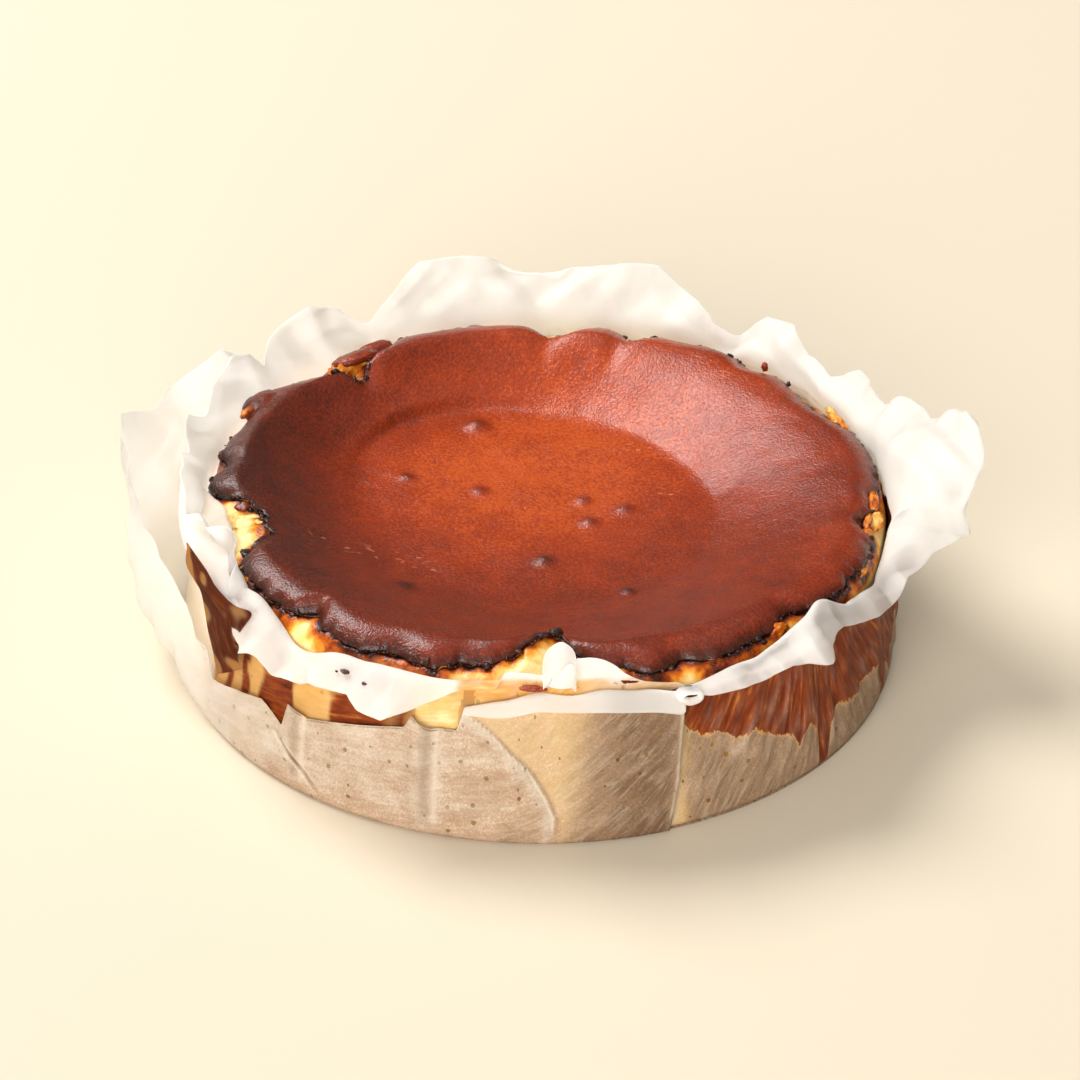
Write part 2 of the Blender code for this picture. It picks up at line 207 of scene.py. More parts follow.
# Corners of the outer sheet's top edge: azimuth, height
OUTER_EDGE = (
    (-137, 0.0026), (-134, 0.04), (-121, 0.061), (-106, 0.054), (-91, 0.07), (-84, 0.064), (-80, 0.047),
    (-72, 0.038), (-67.5, 0.034), (-65, 0.0265), (-61.5, 0.025), (-60, 0.018), (-48, 0.0225), (-43, 0.0186),
    (-41.8, 0.0264), (-38, 0.0243), (-21, 0.0313), (-19.6, 0.0355), (-16.4, 0.033), (-12.4, 0.0331),
    (-11.3, 0.0397), (0, 0.0448), (10, 0.045), (20, 0.0438), (22.4, 0.0434), (23.2, 0.04),
)
OUTER_BASE = 0.0002
OUTER_FROM = -136.4
OUTER_TO = 23.2
# Its wall leans out at the left: how far, about which azimuth, and half widths in degrees
OUTER_LEAN = 0.0225
OUTER_LEAN_AZIMUTH = -92.0
OUTER_LEAN_FRONT = 23.0
OUTER_LEAN_BACK = 42.0
LEAN_RISE = 0.0180
STRIP_FROM = -12.0
STRIP_TO = 22.0
# Width of the strip that is folded down outwards: azimuth, width
STRIP_WIDTHS = ((-12.5, 0), (-11, 0.0022), (-7, 0.0044), (8, 0.0062), (22, 0.008))
STRIP_TILT = -60.0
# Pleats of the outer sheet: azimuth, half width in degrees, height
OUTER_PLEATS = ((-41, 2.2, 0.0012), (-18, 2, 0.0022), (-4, 2.6, 0.001), (22.5, 3, 0.0018))
# Pleats along which a painted highlight and a painted shade run as a pale and a dark line
PLEATS_WITH_PAINTED_LIGHT = (-41.0, -18.0)
OUTER_FREE_LEAST = 0.0004
OUTER_FREE_TILT = 80.0
# Rows of a sheet's mesh that lie under the cake, and the columns that stand closer together
FOOT_ROWS = 5
FINE_FROM = -70.0
FINE_TO = 90.0
FINE_SHARE = 0.64
# Rows of each sheet's mesh on the wall and on its free edge
INNER_ROWS = (30, 28)
OUTER_ROWS = (38, 14)
WALL_RADIUS = 0.1015
BOX_MARGIN = 0.00012
# The outer sheet's right edge leans: height, azimuth
OUTER_RIGHT = ((0, 20.4), (0.01, 21.1), (0.023, 21.8), (0.037, 22.7), (0.05, 23.2))
# How far the free edge of the inner sheet is crumpled: azimuth, depth
CRUMPLES = (
    (-180, 0.002), (-60, 0.002), (-50, 0.0022), (-12, 0.001), (0, 0.0004), (22, 0.0004), (28, 0.0022),
    (60, 0.0028), (85, 0.003), (110, 0.0024), (180, 0.002),
)
# Crumpled paper is folded across these directions
FOLD_DIRECTIONS = ((0.8, 0.35, 0.5), (-0.45, 0.7, 0.55), (0.35, -0.55, 0.75), (0.75, -0.6, -0.25))
# Rows and columns of the meshes of the tongues, the two folds and the roll
TONGUE_MESH = (44, 40)
LEFT_FOLD_MESH = (22, 150)
STAINED_FOLD_MESH = (60, 24)
ROLL_MESH = (34, 72)
# Depths of the wrinkles on the inner sheet's bare wall and, on the outer sheet, of the wrinkles, the step of
# its lap, the dark slanting fold, the dents of its clean left part and the flutter of its strip
INNER_WRINKLE = 0.0011
OUTER_WRINKLE = 0.0007
LAP_STEP = 0.00045
BAND_STEP = 0.0005
DENT = 0.0009
FLUTTER = 0.0008

# ---------------------------------------------------------------- marks on the paper

# The marks' borders waver: degrees, size in millimetres, seed
MARK_WAVES = ((1.2, 7, 91), (0.5, 3, 92))
# Azimuths between which the inner sheet's marks come and go: in front, at its clean left part and on its
# right
FRONT_START, FRONT_END = (-13.0, -11.0), (21.0, 24.0)
CLEAN_START, CLEAN_END = (-140.0, -136.0), (-63.5, -62.5)
RIGHT_START = (24.0, 27.0)
# Heights between which fat stops and, in front, custard stops shining through, in millimetres
FAT_END = (38.0, 44.0)
FRONT_GLOW_END = (47.0, 49.2)
# Lower border of the brown stain on the inner sheet: azimuth, height in millimetres. Its narrow column from
# -12.4 to -11 degrees is a painted shadow in the narrow gap there
STAIN_BORDER = (
    (-180, 24), (-160, 21), (-137, 25), (-120, 30), (-100, 60), (-64, 60), (-62, 5), (-20.5, 5), (-19, 60),
    (-13, 60), (-12.4, 5), (-11, 5), (-10, 60), (21, 60), (23, 30), (26, 27), (30, 27.4), (32, 23),
    (36, 24), (39, 19), (43, 16.6), (45, 11.8), (46, 18.5), (48.4, 14), (49.4, -4), (50.6, -4), (52, 12.4),
    (55, 17), (59.5, 14.4), (62, 16.6), (69, 15.7), (71, -4), (73, -4), (74.2, 11), (78, 3.7), (82, 19),
    (84, 6), (88, 12), (95, 20), (110, 24), (128, 20), (150, 26), (168, 22), (180, 24),
)
# Upper border of the stain: azimuth, height in millimetres
STAIN_TOP = ((-180, 40), (-90, 40), (-62, 46), (-11, 46), (20, 41), (24, 60), (82, 60), (95, 41), (180, 40))
# Where custard shines through the inner sheet: azimuth, share. It dips at -12 degrees so that the painted
# shadow in the gap shows there
GLOW_LINE = (
    (-63, 0), (-62, 0.8), (-59.6, 0.9), (-59, 0), (-57.4, 0), (-56.8, 0.8), (-54.8, 0.8), (-54.2, 0),
    (-53, 0), (-52.3, 1), (-49.8, 1), (-49, 0), (-42, 0), (-41.4, 1), (-34.6, 1), (-33.6, 0), (-24.6, 0),
    (-23, 0.4), (-21.5, 0), (-20, 0.9), (-12.4, 0.9), (-12, 0.6), (-11.4, 1), (3, 1), (6, 0.6), (10, 0.35),
    (21, 0.5), (24, 0),
)
# How tan the outer sheet is drawn: fat soaked it, and its darkening towards its right end, past a share of 1,
# is partly the stained inner sheet behind it and partly painted shade: azimuth, share
SOAK_LINE = (
    (-137, 0), (-72, 0), (-62, 0.12), (-52, 0.4), (-43.5, 0.55), (-35, 0.7), (-19.6, 0.75), (-17, 0.55),
    (-14, 0.8), (-4, 0.92), (2, 1), (6, 1.25), (11, 1.65), (16, 1.9), (21, 2.1), (23.2, 1.4),
)
# The outer sheet laps over itself along a slanting edge: height, azimuth
LAP_EDGE = (
    (0, 2.2), (0.0085, 2.6), (0.0148, 1.3), (0.0225, -1.1), (0.0322, -6.3), (0.0387, -11.7), (0.045, -16),
)
# Custard shines through to the right of that edge as far as this line: height, azimuth
GLOW_EDGE = ((0, 3.5), (0.01, 5.2), (0.025, 6.6), (0.04, 8))
# A slanting fold on the outer sheet, drawn dark along its middle as painted shade and pale at its edges as
# painted highlights: height, azimuth
BAND_FOLD = ((0, -34), (0.0115, -42.2), (0.02, -48.6))
# How steeply the fine wrinkles rise towards the right: azimuth, degrees
WRINKLES = (
    (-180, 60), (-137, 25), (-60, 8), (-5, 10), (4, 34), (20, 40), (24, 58), (42, 64), (50, 100), (58, 122),
    (90, 120), (180, 60),
)

# ---------------------------------------------------------------- torn bits and crumbs

# Torn bits: azimuth, radius and height of the middle, then size around, outwards and up (all lengths in
# millimetres), lean outwards in degrees, how dark the skin is and how pale the custard (below zero: all skin)
TORN_BITS = (
    (-140, 86, 46.8, 8, 4.2, 4.2, 20, 0.35, 0.52),
    (-136, 85, 46.6, 4.6, 4, 3.6, 10, 0.4, 0.4),
    (-142, 87.2, 50.2, 8, 4.8, 1.9, 22, 0.36, -1),
    (-147, 88.6, 50, 5.6, 3, 1.9, 0, 0.4, -1),
    (-117, 88.4, 50, 8.2, 5.6, 3.4, 0, 0.42, -1),
    (-112.6, 90.4, 51.6, 2.8, 2, 1.2, 30, 0.4, 0.36),
    (-84.5, 82.5, 48.4, 5.8, 3.4, 1.5, 10, 0.46, -1),
    (-85.5, 86, 47.4, 3.6, 2.4, 1.2, 0, 0.36, -1),
    (-79.5, 81.5, 45.8, 5.4, 5.6, 1.8, 0, 0.3, 0.8),
    (-74.5, 83, 45.2, 4.8, 4.6, 1.7, 0, 0.3, 0.6),
    (-73, 79.4, 46.8, 3.6, 2, 1.2, 0, 0.35, 0.24),
    (-66, 86.6, 48.4, 2.6, 1.8, 0.9, 0, 1.02, -1),
    (-62, 90.4, 46.8, 4.4, 2.2, 1.5, 15, 0.4, 0.36),
    (0.4, 75.8, 49.9, 2.2, 0.9, 0.6, 0, 0.8, -1),
    (3.6, 74.4, 50.1, 2, 0.9, 0.8, 0, 0.92, -1),
    (14, 90, 45.8, 4.6, 2.8, 1.4, 10, 0.4, 0.4),
    (43.5, 92.4, 46.4, 3.4, 1.8, 2, 10, 0.4, 0.4),
    (113.5, 92.8, 48.4, 4.6, 1.6, 2, 20, 0.34, 0.5),
    (116.5, 93.2, 49.4, 2, 1.2, 1.2, 0, 0.4, 0.6),
    (86.5, 92.6, 47.6, 5.8, 1.8, 2.4, 15, 0.4, 0.38),
    (82, 94, 46.6, 4.6, 1.8, 1.8, 0, 0.4, 0.6),
    (79.5, 92, 49, 3.4, 1, 1, 0, 0.45, 0.34),
    (76.5, 92, 46.8, 4.6, 2.2, 2, 10, 0.4, 0.36),
    (71, 93.8, 46.2, 5.2, 1.8, 1.7, 20, 0.4, 0.34),
    (67.5, 95, 45.2, 3.4, 1.6, 1.5, 0, 0.4, 0.46),
    (134.5, 91.5, 51, 1, 0.7, 1.5, 0, 0.3, -1),
    (-0.6, 97, 47.4, 3.4, 1.1, 0.7, 0, 0.24, -1),
    (-30.4, 99.8, 44.8, 1.3, 0.7, 0.5, 0, 0.7, -1),
    (-26.4, 101.6, 44.4, 0.9, 0.5, 0.4, 0, 0.6, -1),
    (-31.6, 100.6, 44.6, 0.4, 0.3, 0.3, 0, 0.7, -1),
)
# Crumbs along the crust's edge: how many, the seed of their draw, and the range that their sizes come from
EDGE_CRUMBS = 420
EDGE_CRUMB_SEED = 7
EDGE_CRUMB_SIZES = (0.35, 1.05)
# Torn bits of skin wider than this, in millimetres, are swollen and smooth
SWOLLEN_FROM = 5.5
# Two tongues of the inner sheet stand up in front, one in the other: height, x of the left side and of the
# right side, all in millimetres
TONGUE = (
    (47, 1.5, 9.9), (54, 1.3, 10), (57.4, 1.7, 9.8), (59.2, 2.5, 9.2), (60.2, 3.5, 8.4), (60.6, 4.5, 7.5),
    (60.7, 5.4, 6.6),
)
INNER_TONGUE = (
    (48.8, 2.9, 9.4), (50.2, 3.6, 9.5), (52, 4.8, 9.6), (53.6, 6.2, 9.5), (54.8, 7.4, 9.3),
    (55.2, 8.2, 8.9),
)
TONGUE_FRONT = -0.0976
TONGUE_HOLLOW = 0.0030
# At the left the inner sheet folds in over the ledge: azimuth, radius and height of its rim, in millimetres
LEFT_FOLD = (
    (-92, 99, 50), (-87, 94.5, 51.5), (-83, 89.5, 50.8), (-80, 87.6, 50.2), (-74, 87.3, 49.6),
    (-68, 90, 49.4), (-62, 94.6, 48.6), (-55, 98.4, 47.4), (-50, 100, 46.4),
)
LEFT_FOLD_OUTSIDE = 100.4
LEFT_FOLD_FOOT = 44.6
# A brown stained fold of the inner sheet hangs out at the front left: radius, height and azimuth of its left
# side, height and azimuth of its right side (lengths in millimetres)
STAINED_FOLD = (
    (102.5, 54.4, -67.7, 54.4, -67.2),
    (102.5, 46.6, -68.9, 53.5, -60.8),
    (102.5, 45, -65.3, 51, -57.3),
    (102.5, 44, -62.6, 50.1, -52.3),
    (102.5, 38.6, -61.3, 51.5, -47.7),
    (102.5, 33.1, -60.4, 43.1, -50.6),
    (102.3, 27.7, -59.2, 35.5, -52.7),
    (102, 21.3, -58.5, 30.4, -51),
)
# The folded strip ends in a flattened roll: half width, half height, rise and depth, in millimetres
ROLL_PROFILE = (
    (2.4, 1.3, 0, 4.5), (3.1, 2, 0, 2.4), (3.3, 2.2, 0, 1), (2.9, 1.9, 0.1, 0.1), (2.3, 1.3, 0.4, -0.1),
    (1.9, 0.9, 0.6, 0.2), (1.7, 0.8, 0.7, 0.9), (1.6, 0.7, 0.7, 2.2), (1.5, 0.6, 0.7, 4.5),
)
ROLL_AZIMUTH = 23.0
ROLL_HEIGHT = 0.0430
ROLL_RADIUS = 0.1030

# ---------------------------------------------------------------- stage

# Places and widths of the two lamps, and half the width of the floor
KEY_PLACE = (-1.20, 1.00, 1.98)
KEY_SIZE = 1.5
FILL_PLACE = (-0.80, -3.40, 1.35)
FILL_SIZE = 3.0
FLOOR_HALF = 3.0
# The view that the cake is seen from: degrees above the table and of roll, distance and the point looked at
VIEW_ELEVATION = 32.48
VIEW_ROLL = 0.50
VIEW_DISTANCE = 1.2378
VIEW_TARGET = (0.0003, 0.0493, 0.0)
LENS = 140.0
SENSOR = 36.0


def linear(colour):
    """An sRGB hex colour as linear RGB with full alpha. Anything else is given back as it is."""
    if not isinstance(colour, str):
        return colour
    channels = (int(colour[index:index + 2], 16) / 255.0 for index in (1, 3, 5))
    return (*(c / 12.92 if c <= 0.04045 else ((c + 0.055) / 1.055) ** 2.4 for c in channels), 1.0)


def colour_prop(name, description, hex_colour):
    return FloatVectorProperty(name=name, description=description, subtype="COLOR", size=4, min=0.0,
                               max=1.0, default=linear(hex_colour))


def length_prop(name, description, length):
    return FloatProperty(name=name, description=description, default=length, unit="LENGTH")


class CakeSettings(bpy.types.PropertyGroup):
    radius: length_prop("Foot radius", "Radius of the cake at its foot", 0.1000)
    crust_radius: length_prop("Crust radius", "Mean radius of the browned crust's edge", 0.0913)
    crest_height: length_prop("Crest height", "Height of the rim's highest line at the back", 0.0535)
    floor_height: length_prop("Floor height", "Height of the sunken middle", 0.0385)
    floor_radius: length_prop("Floor radius", "Radius of the sunken middle", 0.0570)
    turns: IntProperty(name="Columns", description="Columns of the mesh round the cake", default=640)
    skin: colour_prop("Skin", "Lightest brown of the crust, in its middle", "#9A3610")
    burnt: colour_prop("Burnt", "Darkest brown of the crust, at its rim", "#1D1311")
    custard: colour_prop("Custard", "Baked custard under the crust", "#FADB94")
    amber: colour_prop("Amber", "Browned custard beside the crust", "#C25E14")


class PaperSettings(bpy.types.PropertyGroup):
    thickness: length_prop("Thickness", "Thickness that the paper is drawn with", SHEET)
    turns: IntProperty(name="Columns", description="Columns of the mesh round the cake", default=720)
    clean: colour_prop("Clean paper", "Paper that stands free", "#FFFEFC")
    greased: colour_prop("Greased paper", "Paper that lies against the cake", "#C4A58A")
    stain: colour_prop("Stain", "Paper browned by fat and caramel", "#762C08")
    glow: colour_prop("Custard glow", "Custard that shows through the paper", "#F0CA7E")


class StageSettings(bpy.types.PropertyGroup):
    floor: colour_prop("Floor", "Plain floor", "#DBCFB9")
    key_power: FloatProperty(name="Key power", description="Power of the large soft lamp", default=66.0)
    fill_power: FloatProperty(name="Fill power", description="Power of the front lamp", default=163.0)
    sky_strength: FloatProperty(name="Sky strength", description="Light from above", default=0.66)


# ---------------------------------------------------------------- form


def turned(azimuth, radius, height):
    angle, radius, height = np.broadcast_arrays(np.radians(azimuth), radius, height)
    return np.stack([radius * np.sin(angle), -radius * np.cos(angle), height], -1)


def between(azimuth, other):
    """How far azimuth lies past the other one, from -180 to 180."""
    return (azimuth - other + 180.0) % 360.0 - 180.0


def ramp(value, start, end):
    share = np.clip((value - start) / (end - start), 0.0, 1.0)
    return share * share * (3.0 - 2.0 * share)


def fall(value, start, end):
    return 1.0 - ramp(value, start, end)


def hump(value, centre, half_width):
    """A soft hump of height 1 about a centre."""
    return np.exp(-((value - centre) / half_width) ** 2)


def swell(azimuth, centre, half_width):
    return hump(between(azimuth, centre), 0.0, half_width)


def swells(azimuth, rows):
    """The sum of many swells: azimuth, half width in degrees, height."""
    return sum(height * swell(azimuth, centre, half_width) for centre, half_width, height in rows)


def on_line(place, corners, column=1):
    """What a line with these corners reads at an azimuth or, for a slanting line, at a height."""
    return np.interp(place, [corner[0] for corner in corners], [corner[column] for corner in corners])


def lattice(cells, seed):
    """A number from -1 to 1 for each whole-number cell, the same each run."""
    mixed = cells[..., 0] * 73856093 ^ cells[..., 1] * 19349663 ^ cells[..., 2] * 83492791 ^ seed * 26544357
    mixed = ((mixed ^ (mixed >> 13)) * 1274126177) & 0xFFFFFFFF
    return ((mixed ^ (mixed >> 16)) & 0xFFFF) / 32767.5 - 1.0


def uneven(places, size, seed):
    """Smooth noise from -1 to 1 whose bumps are about one size across."""
    scaled = np.asarray(places) / size
    cell = np.floor(scaled).astype(np.int64)
    share = scaled - cell
    share = share * share * (3.0 - 2.0 * share)
    total = 0.0
    for corner in itertools.product((0, 1), repeat=3):
        weight = np.prod(np.where(corner, share, 1.0 - share), axis=-1)
        total = total + weight * lattice(cell + corner, seed)
    return total


def waves(places, rows):
    """The sum of smooth noises: depth, size in millimetres, seed."""
    return sum(depth * uneven(places, size * MM, seed) for depth, size, seed in rows)


def creased(places, size, seed):
    """Smooth hollows with sharp folds half-way between scattered points."""
    scaled = np.asarray(places) / size
    cell = np.floor(scaled).astype(np.int64)
    nearest = np.full(scaled.shape[:-1], 9.0)
    for shift in itertools.product((-1, 0, 1), repeat=3):
        other = cell + shift
        spot = np.stack([other[..., axis] + 0.5 + 0.5 * lattice(other, seed + axis) for axis in range(3)], -1)
        nearest = np.minimum(nearest, ((spot - scaled) ** 2).sum(-1))
    return nearest


def folded_over(places, size, seed):
    """Flat facets between straight sharp folds, from about -1 to 1, as in paper that was balled up."""
    total = 0.0
    for turn, direction in enumerate(FOLD_DIRECTIONS):
        reach = places @ np.array(direction) / size + 0.37 * turn
        reach = reach + 0.15 * uneven(places, 2.0 * size, seed + turn)
        saw = 4.0 * np.abs(reach - np.floor(reach) - 0.5) - 1.0
        total = total + saw * ramp(uneven(places, 1.7 * size, seed + 10 + turn), -0.5, 0.6)
    return total / 2.0


def normals_of(places, closed_round):
    """Unit normals of a grid of places, from its own differences."""
    if closed_round:
        across = np.roll(places, -1, 1) - np.roll(places, 1, 1)
    else:
        across = np.gradient(places, axis=1)
    along = np.gradient(places, axis=0)
    normals = np.cross(along, across)
    return normals / np.maximum(np.linalg.norm(normals, axis=-1, keepdims=True), 1e-12)


def cell_corners(rows, columns, closed_round):
    index = np.arange(rows * columns).reshape(rows, columns)
    after = np.roll(index, -1, 1) if closed_round else index[:, 1:]
    here = index if closed_round else index[:, :-1]
    return np.stack([here[:-1], after[:-1], after[1:], here[1:]], -1).reshape(-1, 4)


def add_object(name, data):
    thing = bpy.data.objects.new(name, data)
    bpy.context.scene.collection.objects.link(thing)
    return thing


def add_mesh(name, points, faces, attributes, material):
    """A smooth mesh object, with its coincident points merged and one number at each point per attribute."""
    mesh = bpy.data.meshes.new(name)
    mesh.from_pydata(points, [], faces)
    for label, values in attributes.items():
        layer = mesh.attributes.new(label, "FLOAT", "POINT")
        layer.data.foreach_set("value", np.asarray(values, np.float32).ravel())
    shape = bmesh.new()
    shape.from_mesh(mesh)
    bmesh.ops.remove_doubles(shape, verts=shape.verts, dist=1e-7)
    bmesh.ops.recalc_face_normals(shape, faces=shape.faces)
    shape.to_mesh(mesh)
    shape.free()
    mesh.shade_smooth()
    mesh.materials.append(material)
    return add_object(name, mesh)


def add_sheet(name, places, thickness, closed_round, attributes, material, kept=None):
    """A thin closed sheet about a grid of places, drawn only where a cell is kept."""
    rows, columns = places.shape[:2]
    shift = normals_of(places, closed_round) * thickness / 2.0
    points = np.concatenate([(places + shift).reshape(-1, 3), (places - shift).reshape(-1, 3)])
    cells = cell_corners(rows, columns, closed_round)
    if kept is not None:
        cells = cells[kept.ravel()]
    under = rows * columns
    edges = np.concatenate([cells[:, [index, (index + 1) % 4]] for index in range(4)]).tolist()
    known = set(map(tuple, edges))
    faces = cells.tolist() + (cells[:, ::-1] + under).tolist()
    faces += [[b, a, a + under, b + under] for a, b in edges if (b, a) not in known]
    used = np.unique(np.concatenate([cells, cells + under]))
    renumber = np.zeros(len(points), np.int64)
    renumber[used] = np.arange(len(used))
    doubled = {label: np.tile(np.ravel(values), 2)[used] for label, values in attributes.items()}
    return add_mesh(name, points[used], [renumber[face].tolist() for face in faces], doubled, material)


# ---------------------------------------------------------------- the cake's form


def side_radius(cake, azimuth, height):
    """The cake's side, which leans in up to the shoulder."""
    taper = SIDE_TAPER - TOP_SHIFT * np.sin(np.radians(azimuth))
    return cake.radius - taper * np.minimum(np.maximum(height, 0.0) / SHOULDER_HEIGHT, 1.0) ** SIDE_POWER


def round_crust(cake, azimuth):
    """The crust's edge without its notches."""
    angle = np.radians(azimuth)
    return cake.crust_radius - CRUST_OVAL * np.cos(2.0 * angle) + TOP_SHIFT * np.sin(angle)


def crust_edge(cake, azimuth):
    """The crust's edge with its notches, and how far crumbs of 5 mm and 2 mm make it ragged."""
    ragged = MM * waves(turned(azimuth, cake.crust_radius, 0.0), OUTLINE_WAVES)
    limit = side_radius(cake, azimuth, SHOULDER_HEIGHT) - CRUST_INSET
    edge = round_crust(cake, azimuth) - swells(azimuth, CRUST_NOTCHES) - on_line(azimuth, FRONT_TEAR)
    return np.minimum(edge, limit - 1.0 * MM), np.minimum(ragged, limit - edge)


def crust_height(cake, azimuth, radius, edge):
    """The crust's height: a sunken floor, a soft slope, a crest, and a roll down to the ragged edge."""
    crest = on_line(azimuth, CREST_LINE) + cake.crest_height - CREST_LINE[0][1]
    from_edge = on_line(azimuth, CREST_LINE, 2)
    start = on_line(azimuth, SLOPE_START)
    share = (radius - start) / (round_crust(cake, azimuth) - from_edge - start)
    soft = 0.55 * ramp(share, -0.25, 1.0) + 0.45 * np.clip((share + 0.25) / 1.25, 0.0, 1.0) ** 2.4
    firm = np.sin(0.5 * np.pi * np.clip(share, 0.0, 1.0)) ** 1.15
    rise = (crest - cake.floor_height) * (soft + (firm - soft) * swell(azimuth, FIRM_SLOPE, FIRM_SLOPE_WIDTH))
    # A torn edge doesn't roll over
    torn = ramp(round_crust(cake, azimuth) - edge, 0.0040, 0.0110)
    roll = (1.0 - 0.8 * torn) * RIM_ROLL * np.clip(1.0 - (edge - radius) / from_edge, 0.0, 1.0) ** 2.2
    dish = FLOOR_DISH * np.clip(1.0 - radius / cake.floor_radius, 0.0, 1.0)
    slope_folds = (ramp(share, -0.10, 0.06) - ramp(share, 0.0, 0.75)) * swells(azimuth, SLOPE_FOLDS)
    notch_folds = ramp(share, 0.35, 1.0) * swells(azimuth, NOTCH_FOLDS)
    return cake.floor_height - dish + rise - roll + slope_folds - notch_folds


def cake_grid(cake):
    """Rows of places over the top, the rim, the ledge, the side and the foot, and what each place is."""
    azimuth = np.arange(cake.turns) * 360.0 / cake.turns - 180.0
    edge, ragged = crust_edge(cake, azimuth)
    rows, shares, parts = [], [], []

    def row(radius, height, share, part):
        rows.append(turned(azimuth, radius, height))
        shares.append(np.broadcast_to(share, azimuth.shape))
        parts.append(np.full(azimuth.shape, part))

    smooth_edge = round_crust(cake, azimuth)
    for share in np.linspace(0.0, 1.0, TOP_ROWS):
        radius = smooth_edge * share + (edge - smooth_edge) * ramp(share, 0.62, 1.0)
        height = crust_height(cake, azimuth, radius, edge)
        row(radius + ragged * ramp(share, 0.962, 1.0), height, share, 0.0)
    lip = CRUST_LIP * (1.0 + waves(turned(azimuth, cake.crust_radius, 0.0), LIP_WAVES))
    top = crust_height(cake, azimuth, edge, edge)
    edge = edge + ragged
    for share in (0.3, 0.65, 1.0):
        tuck = LIP_TUCK * share ** 2
        row(edge + 0.25 * MM * math.sin(math.pi * share) - tuck, top - lip * share, 1.0 + 0.1 * share, 0.0)
    start, start_height = edge - LIP_TUCK, top - lip
    shoulder = side_radius(cake, azimuth, SHOULDER_HEIGHT)
    for share in np.linspace(0.0, 1.0, LEDGE_ROWS)[1:]:
        height = start_height + (SHOULDER_HEIGHT - start_height) * share + LEDGE_BULGE * np.sin(np.pi * share)
        reach = share * (shoulder - start)
        row(start + reach, height, np.minimum(reach / CUSTARD_REACH, 1.0), 1.0)
    base = 2.0 * (PAPER + GAP)
    for height in np.linspace(SHOULDER_HEIGHT, base + FOOT_CHAMFER, SIDE_ROWS)[1:]:
        row(side_radius(cake, azimuth, height), height, height, 2.0)
    row(cake.radius - FOOT_CHAMFER, base, 0.0, 2.0)
    row(0.0, base, 0.0, 2.0)
    return azimuth, np.stack(rows), np.stack(shares), np.stack(parts)


def shape_cake(cake):
    """The cake's places with its relief, and the masks that its colours follow."""
    azimuth, places, share, part = cake_grid(cake)
    x, y = places[..., 0], places[..., 1]
    radius = np.hypot(x, y)
    skin, ledge, buried = (part == kind for kind in (0.0, 1.0, 2.0))
    relief = MM * waves(places, SKIN_WAVES)
    blistered = np.zeros(share.shape)
    for centre, distance, width, height in BLISTERS:
        spot = turned(centre, distance, 0.0)
        blister = hump(np.hypot(x - spot[0], y - spot[1]), 0.0, width) * skin
        relief = relief + height * blister
        blistered = np.maximum(blistered, blister)
    relief = relief + ledge * MM * waves(places, LEDGE_WAVES)
    near_edge = np.where(skin, ramp(share, 0.95, 1.02), 0.0)
    relief = relief + near_edge * MM * waves(places, EDGE_WAVES)
    places = places + normals_of(places, True) * (relief * ~buried)[..., None]
    from_spot = np.hypot(places[..., 0] - PALE_SPOT[0], places[..., 1] - PALE_SPOT[1])
    char = 0.04 + 0.36 * ramp(from_spot, 0.010, 0.100)
    angle = np.broadcast_to(azimuth, share.shape)
    char = char + 0.04 * swell(angle, 80.0, 45.0) * ramp(radius, 0.015, 0.040) * fall(radius, 0.052, 0.066)
    char = char + on_line(angle, CHAR_LINE) * ramp(radius, 0.030, 0.082)
    edge_char = np.where(skin, ramp(share, 0.965, 1.03), 0.0)
    pitted = sum(hump(places[..., 0] / MM, x, length) * hump(places[..., 1] / MM, y, width)
                 for x, y, length, width in PITTED)
    masks = {
        "char": char + 0.30 * blistered + 0.50 * edge_char + 0.05 * uneven(places, 16.0 * MM, 7),
        "pitted": pitted * skin,
        "crust": skin.astype(float),
        "ledge": np.where(ledge, share, 1.0),
    }
    return places, masks


# ---------------------------------------------------------------- the paper's form


def inner_tilt(azimuth):
    """The tilt of the inner sheet's free edge, taken from the petals there."""
    weights = tilts = 0.0
    for centre, half_width, tilt in INNER_TILTS:
        weight = np.exp(-TILT_BLEND * (between(azimuth, centre) / half_width) ** 2)
        weights = weights + weight
        tilts = tilts + weight * tilt
    return tilts / weights


def free_rows(radius, height, length, tilt, stations):
    """Radii and heights along a free edge that leaves the wall upwards and bends over to its tilt."""
    rows = []
    step = length / stations
    bend = np.where(tilt > 0.0, BEND_UPRIGHT, BEND_FOLDED)
    for index in range(stations):
        heading = np.radians(90.0 + (tilt - 90.0) * ramp((index + 0.5) / stations, -0.05, bend))
        radius = radius + step * np.cos(heading)
        height = height + step * np.sin(heading)
        rows.append((radius, height))
    return rows


def foot_rows(wall_radius, base, azimuth):
    """A sheet's flat bottom and the corner where it turns up."""
    slant = CORNER * (1.0 - math.sqrt(0.5))
    rows = [(wall_radius * share, base) for share in (0.0, 0.5, 0.95)]
    rows += [(wall_radius - CORNER, base), (wall_radius - slant, base + slant)]
    return [(np.broadcast_to(radius, azimuth.shape), np.broadcast_to(height, azimuth.shape))
            for radius, height in rows]


def columns_round(paper):
    """Azimuths once round, closest together where the walls are seen."""
    middle = np.linspace(FINE_FROM, FINE_TO, int(paper.turns * FINE_SHARE), endpoint=False)
    rest = np.linspace(FINE_TO, FINE_FROM + 360.0, paper.turns - len(middle), endpoint=False)
    return np.sort(np.concatenate([middle, (rest + 180.0) % 360.0 - 180.0]))


